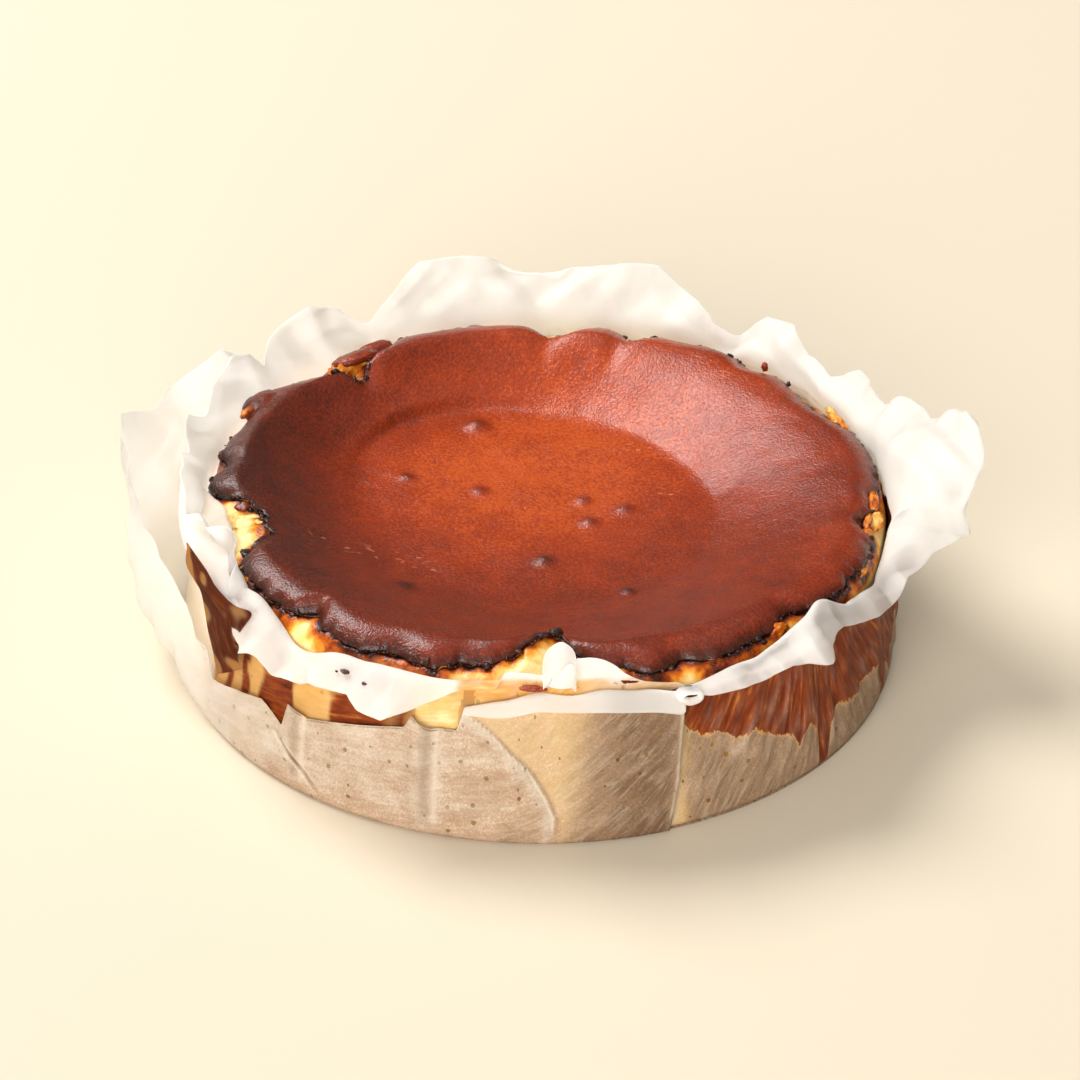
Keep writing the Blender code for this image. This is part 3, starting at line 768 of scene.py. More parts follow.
def wrinkle_lines(azimuth, places):
    """How far each place lies across and along the fine wrinkles, in millimetres."""
    slant = np.radians(on_line(azimuth, WRINKLES))
    step = np.diff(np.radians(azimuth), prepend=np.radians(azimuth[0])) * WALL_RADIUS / MM
    rise = np.linalg.norm(np.diff(places, axis=0, prepend=places[:1]), axis=-1)
    up = np.cumsum(np.where(np.arange(len(places))[:, None] > FOOT_ROWS, rise, 0.0), axis=0) / MM
    return (up * np.cos(slant) - np.cumsum(np.sin(slant) * step),
            up * np.sin(slant) + np.cumsum(np.cos(slant) * step))


def ridges(across, along, size, seed):
    """Folds with sharp ridges, four times as long as they are wide."""
    return creased(np.stack([across / size, along / (4.0 * size), np.full(across.shape, 0.5)], -1), 1.0, seed)


def in_box(places):
    """Keeps each place inside the solids' own box."""
    low, high = (np.array(corner) for corner in cad_box)
    return np.clip(places, low + BOX_MARGIN, high - BOX_MARGIN)


def inner_grid(cake, paper, wall_stations, free_stations):
    azimuth = columns_round(paper)
    clear = GAP + PAPER / 2.0
    base = PAPER + GAP / 2.0
    top = BEND_HEIGHT + swells(azimuth, BEND_RISES)
    pleat = swells(azimuth, INNER_PLEATS)
    rows = foot_rows(cake.radius + clear, base, azimuth)
    for height in np.linspace(base + CORNER, top, wall_stations):
        rows.append((side_radius(cake, azimuth, height) + clear + pleat * ramp(height, *PLEAT_RISE), height))
    rows += free_rows(*rows[-1], on_line(azimuth, INNER_CUT) * MM, inner_tilt(azimuth), free_stations)
    places = np.stack([turned(azimuth, radius, height) for radius, height in rows])
    free = np.maximum(np.arange(len(rows)) - (FOOT_ROWS + wall_stations - 1), 0.0) / free_stations
    return azimuth, places, free[:, None] * np.ones_like(azimuth)


def shape_inner(cake, paper):
    """The inner sheet's places, crumpled where it stands free, and the masks that its colours follow."""
    azimuth, places, free = inner_grid(cake, paper, *INNER_ROWS)
    across, along = wrinkle_lines(azimuth, places)
    depth = on_line(azimuth, CRUMPLES) * ramp(free, 0.0, 0.7)
    crumple = depth * (1.9 * folded_over(places, 27.0 * MM, 31) + 0.95 * folded_over(places, 11.0 * MM, 41))
    height = places[..., 2] / MM
    bare_wall = ramp(azimuth, 23.0, 27.0) * (free == 0.0) * ramp(height, 2.0, 8.0)
    sharp = np.minimum(ridges(across, along, 3.0, 51), 1.0)
    relief = crumple - bare_wall * INNER_WRINKLE * sharp
    places = in_box(places + normals_of(places, True) * relief[..., None])
    around = azimuth + waves(places, MARK_WAVES)
    border = np.minimum(height - on_line(around, STAIN_BORDER), on_line(around, STAIN_TOP) - height)
    wall = fall(free, 0.0, 0.10)
    stained = np.clip(border / 3.0, -2.0, 2.0) * wall - 2.0 * (1.0 - wall)
    in_front = ramp(azimuth, *FRONT_START) * fall(azimuth, *FRONT_END)
    low = in_front * fall(height + 1.2 * uneven(places, 4.0 * MM, 93), *FRONT_GLOW_END)
    shining = on_line(around, GLOW_LINE) * wall * (1.0 - in_front)
    shining = shining + (1.0 - 0.5 * ramp(azimuth, 4.0, 9.0)) * low
    shining = shining * (1.0 - ramp(azimuth, *RIGHT_START) * fall(border, -1.0, 5.0))
    # A brown patch beside the tongues
    patch = swell(azimuth, 14.0, 3.2) * hump(height, 47.0, 1.0) * in_front
    clean_left = ramp(azimuth, *CLEAN_START) * fall(azimuth, *CLEAN_END)
    # Along the wrinkles' folds the wall is drawn less soaked and paler, and the creased mask paints them
    # paler still: painted highlights
    soaked = (1.45 - 0.30 * sharp) * wall * (1.0 - clean_left) * fall(height, *FAT_END) * (1.0 - in_front)
    masks = {
        "soaked": soaked + 0.35 * low,
        "stained": np.maximum(stained, 4.2 * patch - 3.0) - 3.0 * clean_left,
        "shining": shining * fall(patch, 0.2, 0.6),
        "creased": 0.25 * bare_wall * sharp ** 2,
        "across": across, "along": along,
    }
    return places, masks


def outer_grid(cake, paper, wall_stations, free_stations):
    azimuth = columns_round(paper)
    clear = 2.0 * GAP + 1.5 * PAPER
    base = OUTER_BASE
    width = np.where(between(azimuth, OUTER_LEAN_AZIMUTH) > 0.0, OUTER_LEAN_FRONT, OUTER_LEAN_BACK)
    lean = OUTER_LEAN * swell(azimuth, OUTER_LEAN_AZIMUTH, width)
    pleat = swells(azimuth, OUTER_PLEATS)
    strip = ramp(azimuth, STRIP_FROM - 1.0, STRIP_FROM) * fall(azimuth, STRIP_TO, STRIP_TO + 1.0)
    top = on_line(azimuth, OUTER_EDGE) - OUTER_FREE_LEAST
    rows = foot_rows(cake.radius + clear, base, azimuth)
    for height in np.linspace(base + CORNER, top, wall_stations):
        spread = lean * (1.0 - np.exp(-height / LEAN_RISE)) + pleat * ramp(height, *PLEAT_RISE)
        rows.append((side_radius(cake, azimuth, height) + clear + spread, height))
    free = OUTER_FREE_LEAST + on_line(azimuth, STRIP_WIDTHS) * strip
    tilt = OUTER_FREE_TILT + (STRIP_TILT - OUTER_FREE_TILT) * strip
    rows += free_rows(*rows[-1], free, tilt, free_stations)
    near_right = ramp(azimuth, OUTER_TO - 9.0, OUTER_TO)
    places = np.stack([
        turned(azimuth + (on_line(height, OUTER_RIGHT) - OUTER_TO) * near_right, radius, height)
        for radius, height in rows])
    folded = np.concatenate([np.zeros(FOOT_ROWS + wall_stations), np.ones(free_stations)])
    return azimuth, places, lean, folded[:, None] * strip


def shape_outer(cake, paper):
    """The outer sheet's places, wrinkled and folded, its masks, and the cells that are kept."""
    azimuth, places, lean, folded = outer_grid(cake, paper, *OUTER_ROWS)
    across, along = wrinkle_lines(azimuth, places)
    height = places[..., 2]
    around = np.broadcast_to(azimuth, height.shape)
    past_lap, past_band, past_glow = ((around - on_line(height, line)) * np.radians(WALL_RADIUS) / MM
                                      for line in (LAP_EDGE, BAND_FOLD, GLOW_EDGE))
    on_wall = ramp(height, 0.0015, 0.008) * (1.0 - folded)
    leaning = np.broadcast_to(ramp(lean, 0.002, 0.014), height.shape)
    sharp = np.minimum(ridges(across, along, 3.6, 61), 1.0)
    crumple = 3.0 * folded_over(places, 30.0 * MM, 71) + 1.2 * folded_over(places, 12.0 * MM, 75)
    wrinkles = OUTER_WRINKLE * sharp ** 1.5 * (1.0 - leaning)
    lap = LAP_STEP * fall(past_lap, -0.4, 0.4) * ramp(past_lap, -9.0, 0.0)
    band = BAND_STEP * ramp(past_band, -1.0, 0.5) * fall(past_band, 1.5, 5.0) * (height < 0.016)
    dents = DENT * np.abs(folded_over(places, 16.0 * MM, 77)) * (1.0 - leaning) * ramp(-around, 50.0, 62.0)
    relief = (crumple * leaning * MM + band - wrinkles - lap - dents) * on_wall
    relief = relief + FLUTTER * folded * uneven(places, 9.0 * MM, 81)
    places = in_box(places + normals_of(places, True) * relief[..., None])
    # Under the cake the whole sheet is kept, and above it only the part from its left to its right edge
    inside = (azimuth >= OUTER_FROM) & (azimuth < OUTER_TO)
    kept = (np.arange(len(height) - 1) < 3)[:, None] | inside
    soaked = on_line(azimuth, SOAK_LINE) * fall(lean, 0.006, 0.016) * (1.0 - folded)
    soaked = soaked + 0.25 * fall(height, 0.0, 0.010) * (soaked > 0.3)
    # Painted highlights and painted shade: pale lines along the lap's edge, the band's edges, the pleats, the
    # wrinkles' folds and the sheet's right edge, and dark lines beside the lap, along the band and beside the
    # pleats
    bright = hump(past_lap, -0.2, 0.40) + 0.25 * sharp ** 2 + hump(around, OUTER_TO, 0.30) * (height < 0.042)
    bright = bright + (hump(past_band, 0.0, 0.5) + hump(past_band, 4.0, 0.6)) * (height < 0.0155)
    dark = 0.8 * hump(past_lap, 0.9, 0.6) + 0.9 * hump(past_band, 2.0, 1.7) * (height < 0.0145)
    for centre in PLEATS_WITH_PAINTED_LIGHT:
        bright = bright + 0.6 * hump(around, centre + 2.4, 0.45)
        dark = dark + 0.6 * hump(around, centre + 0.9, 0.9)
    smear = hump(past_lap, -0.9, 0.7) * hump(height, 0.0335, 0.0032)
    # Just left of the lap's edge and along the wrinkles' folds the sheet is drawn less tan, as painted
    # highlight; the creased mask carries the painted highlights and painted shade
    masks = {
        "soaked": soaked * (1.0 - 0.40 * hump(past_lap, -1.6, 1.8)) * (1.0 - 0.20 * sharp),
        "stained": 3.6 * smear - 3.0,
        "shining": 0.36 * ramp(past_lap, 0.0, 2.5) * fall(past_glow, -7.0, 6.0) * (1.0 - folded),
        "creased": (np.minimum(bright, 1.0) - dark) * on_wall,
        "across": across, "along": along,
    }
    return places, masks, kept


# ---------------------------------------------------------------- torn bits and crumbs


def ball(divisions):
    """Places and faces of a round ball of radius 1."""
    shape = bmesh.new()
    bmesh.ops.create_icosphere(shape, subdivisions=divisions, radius=1.0)
    places = np.array([point.co[:] for point in shape.verts])
    faces = np.array([[point.index for point in face.verts] for face in shape.faces])
    shape.free()
    return places, faces


def joined(lumps, faces):
    """Places and faces of many lumps that share one set of faces."""
    shift = np.arange(len(lumps))[:, None, None] * lumps.shape[1]
    return lumps.reshape(-1, 3), (faces[None] + shift).reshape(-1, 3)


def local_axes(azimuth):
    """Unit vectors around, outwards and up at an azimuth."""
    angle = np.radians(azimuth)
    sine, cosine = np.sin(angle), np.cos(angle)
    return np.array([[cosine, sine, 0.0], [sine, -cosine, 0.0], [0.0, 0.0, 1.0]])


def shape_torn_bits():
    """Uneven lumps of torn crust and custard, and the masks that their colours follow."""
    unit, faces = ball(4)
    lumps, chars, crusts, ledges = [], [], [], []
    for azimuth, radius, height, around, out, up, lean, char, pale in TORN_BITS:
        spots = unit + azimuth
        rough = 0.26 * uneven(spots, 0.55, 101) + 0.16 * uneven(spots, 0.20, 102)
        rough = rough + 0.16 * (creased(spots, 0.45, 103) - 0.4)
        rough = 1.0 + rough * (0.35 if pale < 0.0 and around > SWOLLEN_FROM else 1.0)
        x, y, z = (unit * rough[:, None] * np.array([around, out, up]) * MM).T
        sine, cosine = math.sin(math.radians(lean)), math.cos(math.radians(lean))
        tilted = np.stack([x, y * cosine + z * sine, z * cosine - y * sine], -1)
        lumps.append(turned(azimuth, radius * MM, height * MM) + tilted @ local_axes(azimuth))
        blotch = 0.16 * uneven(spots, 0.5, 104)
        chars.append(char + blotch)
        crusts.append(np.full(len(unit), float(pale < 0.0)))
        ledges.append(pale + 0.9 * blotch + 0.14 * unit[:, 2])
    places, faces = joined(np.stack(lumps), faces)
    masks = {"char": np.concatenate(chars), "crust": np.concatenate(crusts), "ledge": np.concatenate(ledges)}
    return in_box(places), faces, masks


def shape_edge_crumbs(cake):
    """Burnt crumbs of half a millimetre to two, scattered along the crust's ragged edge."""
    draw = np.random.RandomState(EDGE_CRUMB_SEED)
    unit, faces = ball(2)
    azimuth = draw.uniform(-180.0, 180.0, EDGE_CRUMBS)
    edge, ragged = crust_edge(cake, azimuth)
    radius = edge + ragged + draw.normal(-0.1, 0.45, EDGE_CRUMBS) * MM
    height = crust_height(cake, azimuth, edge, edge) - draw.uniform(0.0, 1.9, EDGE_CRUMBS) * MM
    size = draw.uniform(*EDGE_CRUMB_SIZES, EDGE_CRUMBS) ** 1.5 * MM
    stretch = draw.uniform(0.5, 1.3, (EDGE_CRUMBS, 1, 3))
    seed = draw.uniform(0.0, 90.0, (EDGE_CRUMBS, 1, 3))
    rough = 1.0 + 0.45 * uneven(unit[None] + seed, 0.8, 111)
    lumps = turned(azimuth, radius, height)[:, None] + unit * stretch * rough[..., None] * size[:, None, None]
    char = np.repeat(draw.uniform(0.55, 1.1, EDGE_CRUMBS), len(unit))
    places, faces = joined(lumps, faces)
    return in_box(places), faces, {"char": char, "crust": np.ones(len(char)), "ledge": np.ones(len(char))}


def smooth_path(corners, stations):
    """A smooth line through corners, at even steps."""
    corners = np.array(corners, float)
    ends = np.concatenate([2.0 * corners[:1] - corners[1:2], corners, 2.0 * corners[-1:] - corners[-2:-1]])
    spot = np.linspace(0.0, len(corners) - 1.0001, stations)
    first = spot.astype(int)
    share = (spot - first)[:, None]
    a, b, c, d = (ends[first + index] for index in range(4))
    return 0.5 * (2.0 * b + (c - a) * share + (2.0 * a - 5.0 * b + 4.0 * c - d) * share ** 2
                  + (3.0 * b - a - 3.0 * c + d) * share ** 3)


def tongue_places(outline, front, hollow, tilt):
    """An upright tongue of paper between two side lines, hollowed towards its middle."""
    lines = smooth_path(outline, TONGUE_MESH[0]) * MM
    across = np.linspace(0.0, 1.0, TONGUE_MESH[1])
    x = lines[:, 1:2] + (lines[:, 2:3] - lines[:, 1:2]) * across
    z = lines[:, :1] + 0.2 * MM * np.sin(np.pi * across)
    share = np.linspace(0.0, 1.0, len(lines))[:, None]
    width = (lines[:, 2:3] - lines[:, 1:2]) / (lines[0, 2] - lines[0, 1])
    y = front + hollow * width * (1.0 - (2.0 * across - 1.0) ** 2) + tilt * share
    return np.stack([x, y, z], -1)


def left_fold_places():
    """Paper that leaves the inner sheet's wall, bends over the ledge and ends beside the crust."""
    azimuth = np.linspace(LEFT_FOLD[0][0], LEFT_FOLD[-1][0], LEFT_FOLD_MESH[1])
    rim, top = on_line(azimuth, LEFT_FOLD), on_line(azimuth, LEFT_FOLD, 2)
    share = np.linspace(0.0, 1.0, LEFT_FOLD_MESH[0])[:, None]
    radius = LEFT_FOLD_OUTSIDE + (rim - LEFT_FOLD_OUTSIDE) * share ** 1.6
    height = LEFT_FOLD_FOOT + (top - LEFT_FOLD_FOOT) * (1.0 - (1.0 - share) ** 2.2)
    places = turned(azimuth, radius * MM, height * MM)
    relief = 0.7 * MM * share * folded_over(places, 9.0 * MM, 121)
    return places + normals_of(places, False) * relief[..., None]


def stained_fold_places():
    """The stained fold at the front left, between its left and its right side."""
    path = smooth_path(STAINED_FOLD, STAINED_FOLD_MESH[0])
    radius, left_height, left, right_height, right = path.T[..., None]
    share = np.linspace(0.0, 1.0, STAINED_FOLD_MESH[1])
    height = left_height + (right_height - left_height) * share
    bulged = radius + 0.5 * np.sin(np.pi * share)
    places = turned(left + (right - left) * share, bulged * MM, height * MM)
    orange = ramp(uneven(places, 5.0 * MM, 131) - 0.5 * share, -0.1, 0.2) * np.ones_like(height)
    masks = paper_masks(places, stained=np.full(height.shape, 2.0), shining=0.04 + 0.92 * orange,
                        across=height * 0.5 + share * 12.0, along=height)
    return places, masks


def roll_places():
    """The strip's rolled end: an uneven ring round a narrow hole, open to the front."""
    turn = np.linspace(0.0, 2.0 * np.pi, ROLL_MESH[1], endpoint=False)
    profile = smooth_path(ROLL_PROFILE, ROLL_MESH[0]) * MM
    around, out, up = local_axes(ROLL_AZIMUTH - 6.0)
    dents = 1.0 + 0.10 * np.cos(turn * 2.0 + 0.9) + 0.07 * np.sin(turn * 3.0)
    dents = dents + 0.06 * np.abs(np.sin(turn * 2.5))
    centre = turned(ROLL_AZIMUTH, ROLL_RADIUS, ROLL_HEIGHT)
    hole = ramp(profile[:, 3], 0.3 * MM, 1.2 * MM) * (profile[:, 0] < 2.1 * MM)
    rings = []
    for (half_width, half_height, rise, depth), inside in zip(profile, hole):
        # The hole is a half moon: flat below and round above
        upward = np.where(np.sin(turn) < 0.0, 1.0 - 0.6 * inside, 1.0) * np.sin(turn)
        sideways = half_width * dents * np.cos(turn)
        ring = np.outer(sideways, around) + np.outer(half_height * dents * upward + rise, up)
        rings.append(centre + ring - out * depth)
    return np.stack(rings), hole


def paper_masks(places, **given):
    """Masks of a plain bit of paper, save for those that are given."""
    zero = np.zeros(places.shape[:2])
    masks = {label: zero for label in ("soaked", "stained", "shining", "creased")}
    masks.update(stained=zero - 2.0, across=places[..., 2] / MM, along=places[..., 0] / MM)
    masks.update(given)
    return masks


# ---------------------------------------------------------------- materials


TIMES, PLUS, MINUS, TIMES_PLUS = (
    {"operation": name} for name in ("MULTIPLY", "ADD", "SUBTRACT", "MULTIPLY_ADD"))
BLEND = {"data_type": "RGBA"}


def add_node(tree, kind, *inputs, output=None, stops=(), **named):
    """Adds a node and gives back one of its outputs.

    Its inputs are set or linked in order or by a capitalised name, and its settings by a small name. Stops
    are the places and colours of a colour ramp.
    """
    node = tree.nodes.new("ShaderNode" + kind)
    for label in filter(str.islower, named):
        setattr(node, label, named[label])
    for index, (place, colour) in enumerate(stops):
        elements = node.color_ramp.elements
        element = elements[index] if index < 2 else elements.new(place)
        element.position, element.color = place, linear(colour)
    wires = list(zip([socket for socket in node.inputs if socket.enabled], inputs))
    wires += [(node.inputs[label.replace("_", " ")], named[label]) for label in named if not label.islower()]
    for socket, value in wires:
        if isinstance(value, bpy.types.NodeSocket):
            tree.links.new(value, socket)
        else:
            socket.default_value = linear(value)
    live = [socket for socket in node.outputs if socket.enabled]
    return node.outputs[output] if output else live[0] if live else None


def cleared_nodes(owner):
    """Empties the node tree of a material or a world, and gives back what adds a node to it."""
    owner.use_nodes = True
    owner.node_tree.nodes.clear()
    return functools.partial(add_node, owner.node_tree)


def crust_material(cake):
    """Baked custard under a caramelised skin: satin and pebbled on top, moist and matt below."""
    material = bpy.data.materials.new("Caramelised custard, baked")
    add = cleared_nodes(material)
    here = add("TexCoord", output="Object")
    char, crust, ledge, pitted = (add("Attribute", output="Fac", attribute_name=label)
                                  for label in ("char", "crust", "ledge", "pitted"))
    # Pebbles of about 0.9 mm and a grain of 0.5 mm cover the skin, and its tone changes over 9 mm and 3.5 mm
    pebble, grain, patch, blotch = (
        add("TexNoise", Vector=here, Scale=1.0 / (size * MM), Detail=detail)
        for size, detail in ((0.9, 3.0), (0.5, 1.0), (9.0, 3.0), (3.5, 3.0)))
    mottled = add("Math", pebble, 0.55, add("Math", patch, 0.26, char, **TIMES_PLUS), **TIMES_PLUS)
    skin = add("ValToRGB", add("Math", mottled, 0.40, **MINUS), stops=(
        (0.0, "#BC4E18"), (0.16, cake.skin), (0.36, "#782A13"), (0.58, "#502114"), (0.80, "#331C16"),
        (1.0, cake.burnt)))
    browned = add("Math", add("Math", blotch, -0.9, ledge, **TIMES_PLUS), 0.30, **PLUS)
    under = add("ValToRGB", browned, stops=(
        (0.0, "#32160C"), (0.14, "#7A2E0C"), (0.30, cake.amber), (0.48, "#E8982E"), (0.62, "#F2B85C"),
        (0.85, cake.custard)))
    # Pits and scratches, 0.4 to 1.5 mm long, lie where a slanted noise peaks, where there are any
    slanted = add("Mapping", Vector=here, Rotation=(0.0, 0.0, 1.0), Scale=(0.55, 1.0, 1.0))
    pits = add("TexNoise", Vector=slanted, Scale=1.0 / 1.6e-3, Detail=1.5)
    pits = add("Math", add("MapRange", pits, From_Min=0.63, From_Max=0.67, To_Max=0.65), pitted, **TIMES)
    marked = add("Mix", pits, skin, "#D98A62", **BLEND)
    # Painted highlights: pale specks 0.5 mm across and about 1 mm apart stand in for the glints of the skin's
    # grains, save where it is burnt
    painted_glints = add("TexVoronoi", Vector=here, Scale=1.0 / 1.1e-3)
    painted_glints = add("MapRange", painted_glints, From_Min=0.32, From_Max=0.12, To_Max=0.30)
    unburnt = add("MapRange", char, From_Min=0.15, From_Max=0.50, To_Min=1.0, To_Max=0.1)
    marked = add("Mix", add("Math", painted_glints, unburnt, **TIMES), marked, "#B86040", **BLEND)
    colour = add("Mix", crust, under, marked, **BLEND)
    height = add("Math", grain, 0.80, pebble, **TIMES_PLUS)
    bump = add("Bump", Strength=1.0, Distance=0.17 * MM, Height=height)
    rough = add("MapRange", pebble, To_Min=0.20, To_Max=0.30)
    add("OutputMaterial", add("BsdfPrincipled", Base_Color=colour, Roughness=rough, Normal=bump, IOR=1.42))
    return material


def paper_material(paper, name):
    """Calendered greaseproof paper: bright and see-through where it stands free, tan where fat soaked it,
    with painted highlights and painted shade along its creases.
    """
    material = bpy.data.materials.new(name)
    add = cleared_nodes(material)
    here = add("TexCoord", output="Object")
    soaked, stained, shining, painted_crease_light_and_shade, across, along = (
        add("Attribute", output="Fac", attribute_name=label)
        for label in ("soaked", "stained", "shining", "creased", "across", "along"))
    # Wrinkles are 1.3 mm across and six times as long, fibres are 0.6 mm across, and clouds 7 mm
    lengthwise = add("CombineXYZ", X=across, Y=add("Math", along, 0.16, **TIMES))
    wrinkle = add("TexNoise", Vector=lengthwise, Scale=0.75, Detail=3.0)
    fibre = add("TexNoise", Vector=here, Scale=1.0 / 0.6e-3, Detail=3.0)
    cloud = add("TexNoise", Vector=here, Scale=1.0 / 7e-3, Detail=3.0)
    wet = add("Math", soaked, 1.0, operation="MINIMUM")
    mottled = add("Math", add("Math", wrinkle, 0.6, -0.30, **TIMES_PLUS),
                  add("Math", cloud, 0.9, -0.45, **TIMES_PLUS), **PLUS)
    mottled = add("Math", mottled, add("Math", fibre, 1.0, -0.50, **TIMES_PLUS), **PLUS)
    tone = add("Math", add("Math", mottled, wet, soaked, **TIMES_PLUS), 0.5, **TIMES)
    plain = add("ValToRGB", tone, stops=(
        (0.0, paper.clean), (0.22, "#E8D9C4"), (0.42, paper.greased), (0.66, "#A08266"), (1.0, "#755840")))
    # Custard shines through, yellow in the sheet's hollows
    glow = add("Math", wrinkle, 0.6, add("Math", cloud, 0.4, **TIMES), **TIMES_PLUS)
    glow = add("ValToRGB", glow, stops=((0.30, "#E8AE50"), (0.50, paper.glow), (0.70, "#FFEBB4")))
    glowing = add("Math", add("Math", cloud, 1.2, -0.6, **TIMES_PLUS), shining, shining, **TIMES_PLUS)
    colour = add("Mix", glowing, plain, glow, **BLEND)
    # Fine fold lines, 2 mm apart and up to 20 mm long, lie where a stretched noise passes its middle
    stretched = add("CombineXYZ", X=across, Y=add("Math", along, 0.13, **TIMES))
    lines = add("Math", add("TexNoise", Vector=stretched, Scale=0.42, Detail=1.0), 0.5, **MINUS)
    lines = add("MapRange", add("Math", lines, operation="ABSOLUTE"), From_Min=0.050, From_Max=0.0)
    lines = add("Math", lines, add("MapRange", cloud, From_Min=0.40, From_Max=0.60), **TIMES)
    lines = add("Math", add("Math", lines, wet, **TIMES), 0.22, **TIMES)
    colour = add("Mix", lines, colour, "#E9DAC0", **BLEND)
    # Specks of fat are 0.6 to 1.5 mm across, and lie 7 mm apart where there are any
    spread = add("CombineXYZ", X=across, Y=along)
    cells = add("TexVoronoi", Vector=spread, Scale=1.0 / 7.0, voronoi_dimensions="2D")
    size, chance, shade = add("SeparateColor", cells.node.outputs["Color"]).node.outputs
    specks = add("Math", cells, add("Math", size, 0.060, 0.045, **TIMES_PLUS), operation="LESS_THAN")
    specks = add("Math", specks, add("Math", chance, 0.55, operation="LESS_THAN"), **TIMES)
    specks = add("Math", add("Math", specks, wet, **TIMES), 0.90, **TIMES)
    colour = add("Mix", specks, colour, add("Mix", shade, "#8C7414", "#743A10", **BLEND), **BLEND)
    # The brown stain has a ragged, crumbly border
    brown = add("Math", add("Math", wrinkle, 0.7, **TIMES), add("Math", cloud, 0.3, **TIMES), **PLUS)
    brown = add("ValToRGB", brown, stops=(
        (0.30, "#461804"), (0.46, paper.stain), (0.58, "#8E4012"), (0.72, "#C8862E")))
    ragged = add("Math", add("Math", fibre, 0.9, -0.45, **TIMES_PLUS),
                 add("Math", wrinkle, 1.3, -0.65, **TIMES_PLUS), **PLUS)
    border = add("Math", stained, ragged, **PLUS)
    crumbly = add("MapRange", border, From_Min=-0.22, From_Max=-0.10)
    colour = add("Mix", add("Math", crumbly, 0.75, **TIMES), colour, "#D9A45C", **BLEND)
    covered = add("MapRange", border, From_Min=-0.04, From_Max=0.10)
    covered = add("Math", covered, add("Math", 1.0, add("Math", shining, 0.9, **TIMES), **MINUS), **TIMES)
    colour = add("Mix", covered, colour, brown, **BLEND)
    # Painted highlights and painted shade along folds, laps and pleats: paler where the creased mask is above
    # zero and darker where it is below
    colour = add("Mix", add("Math", painted_crease_light_and_shade, 0.8, **TIMES), colour, "#F6EBD6", **BLEND)
    colour = add("Mix", add("Math", painted_crease_light_and_shade, -0.6, **TIMES), colour, "#8A6848", **BLEND)
    height = add("Math", add("Math", wrinkle, wet, **TIMES), 1.2, **TIMES)
    height = add("Math", add("Math", fibre, 0.25, **TIMES), height, **PLUS)
    bump = add("Bump", Strength=0.5, Distance=0.30 * MM, Height=height)
    shader = add("BsdfPrincipled", Base_Color=colour, Roughness=0.55, Normal=bump, IOR=1.45,
                 Specular_IOR_Level=0.25)
    through = add("BsdfTranslucent", Color=colour, Normal=bump)
    add("OutputMaterial", add("MixShader", add("Math", wet, -0.58, 0.70, **TIMES_PLUS), shader, through))
    return material


# ---------------------------------------------------------------- operators


class BuildCake(bpy.types.Operator):
    """Builds the cake: its sunken pebbled crust, its ragged rim and the custard under it."""
    bl_idname = "cheesecake.build_cake"
    bl_label = "Build cake"

    def execute(self, context):
        cake = context.scene.cheesecake_cake
        places, masks = shape_cake(cake)
        faces = cell_corners(*places.shape[:2], True)
        piece = add_mesh("burnt_cake", places.reshape(-1, 3), faces.tolist(), masks, crust_material(cake))
        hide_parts("cake")
        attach(piece, "root")
        return {"FINISHED"}


class BuildTornBits(bpy.types.Operator):
    """Builds the torn bits of crust and custard and the burnt crumbs along the crust's edge."""
    bl_idname = "cheesecake.build_torn_bits"
    bl_label = "Build torn bits"

    def execute(self, context):
        cake = context.scene.cheesecake_cake
        material = crust_material(cake)
        for name, (places, faces, masks) in (
                ("torn_bits", shape_torn_bits()), ("edge_crumbs", shape_edge_crumbs(cake))):
            piece = add_mesh(name, places, faces.tolist(), masks, material)
            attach(piece, "root")
        return {"FINISHED"}


class BuildPaper(bpy.types.Operator):
    """Builds the inner and the outer sheet of baking paper."""
    bl_idname = "cheesecake.build_paper"
    bl_label = "Build paper"

    def execute(self, context):
        cake, paper = context.scene.cheesecake_cake, context.scene.cheesecake_paper
        places, masks = shape_inner(cake, paper)
        inner = add_sheet("inner_sheet", places, paper.thickness, True, masks,
                          paper_material(paper, "Greaseproof paper, calendered"))
        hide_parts("inner_paper")
        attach(inner, "root")
        places, masks, kept = shape_outer(cake, paper)
        outer = add_sheet("outer_sheet", places, paper.thickness, True, masks,
                          paper_material(paper, "Greaseproof paper, calendered, outside"), kept)
        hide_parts("outer_paper")
        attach(outer, "root")
        return {"FINISHED"}


class BuildTongueAndRoll(bpy.types.Operator):
    """Builds the tongues of paper in front, the folds at the left and the rolled end of the folded strip."""
    bl_idname = "cheesecake.build_tongue_and_roll"
    bl_label = "Build tongue and roll"

    def execute(self, context):
        paper = context.scene.cheesecake_paper
        material = paper_material(paper, "Greaseproof paper, curled")
        tongue = tongue_places(TONGUE, TONGUE_FRONT, TONGUE_HOLLOW, 1.5 * MM)
        inner_tongue = tongue_places(INNER_TONGUE, TONGUE_FRONT - 0.5 * MM, -0.4 * TONGUE_HOLLOW, 1.2 * MM)
        left_fold = left_fold_places()
        stained_fold, stains = stained_fold_places()
        roll, hole = roll_places()
        # The inside of the roll's hole is drawn stained dark brown: painted shade in the hole
        painted_hole_shade = paper_masks(roll, stained=np.repeat(4.0 * hole[:, None] - 2.0, roll.shape[1], 1))
        for name, places, closed_round, masks, slot in (
                ("paper_tongue", tongue, False, paper_masks(tongue), "inner_paper"),
                ("paper_inner_tongue", inner_tongue, False, paper_masks(inner_tongue), "inner_paper"),
                ("paper_left_fold", left_fold, False, paper_masks(left_fold), "inner_paper"),
                ("paper_stained_fold", stained_fold, False, stains, "inner_paper"),
                ("strip_roll", roll, True, painted_hole_shade, "outer_paper")):
            piece = add_sheet(name, in_box(places), paper.thickness, closed_round, masks, material)
            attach(piece, "root")
        return {"FINISHED"}


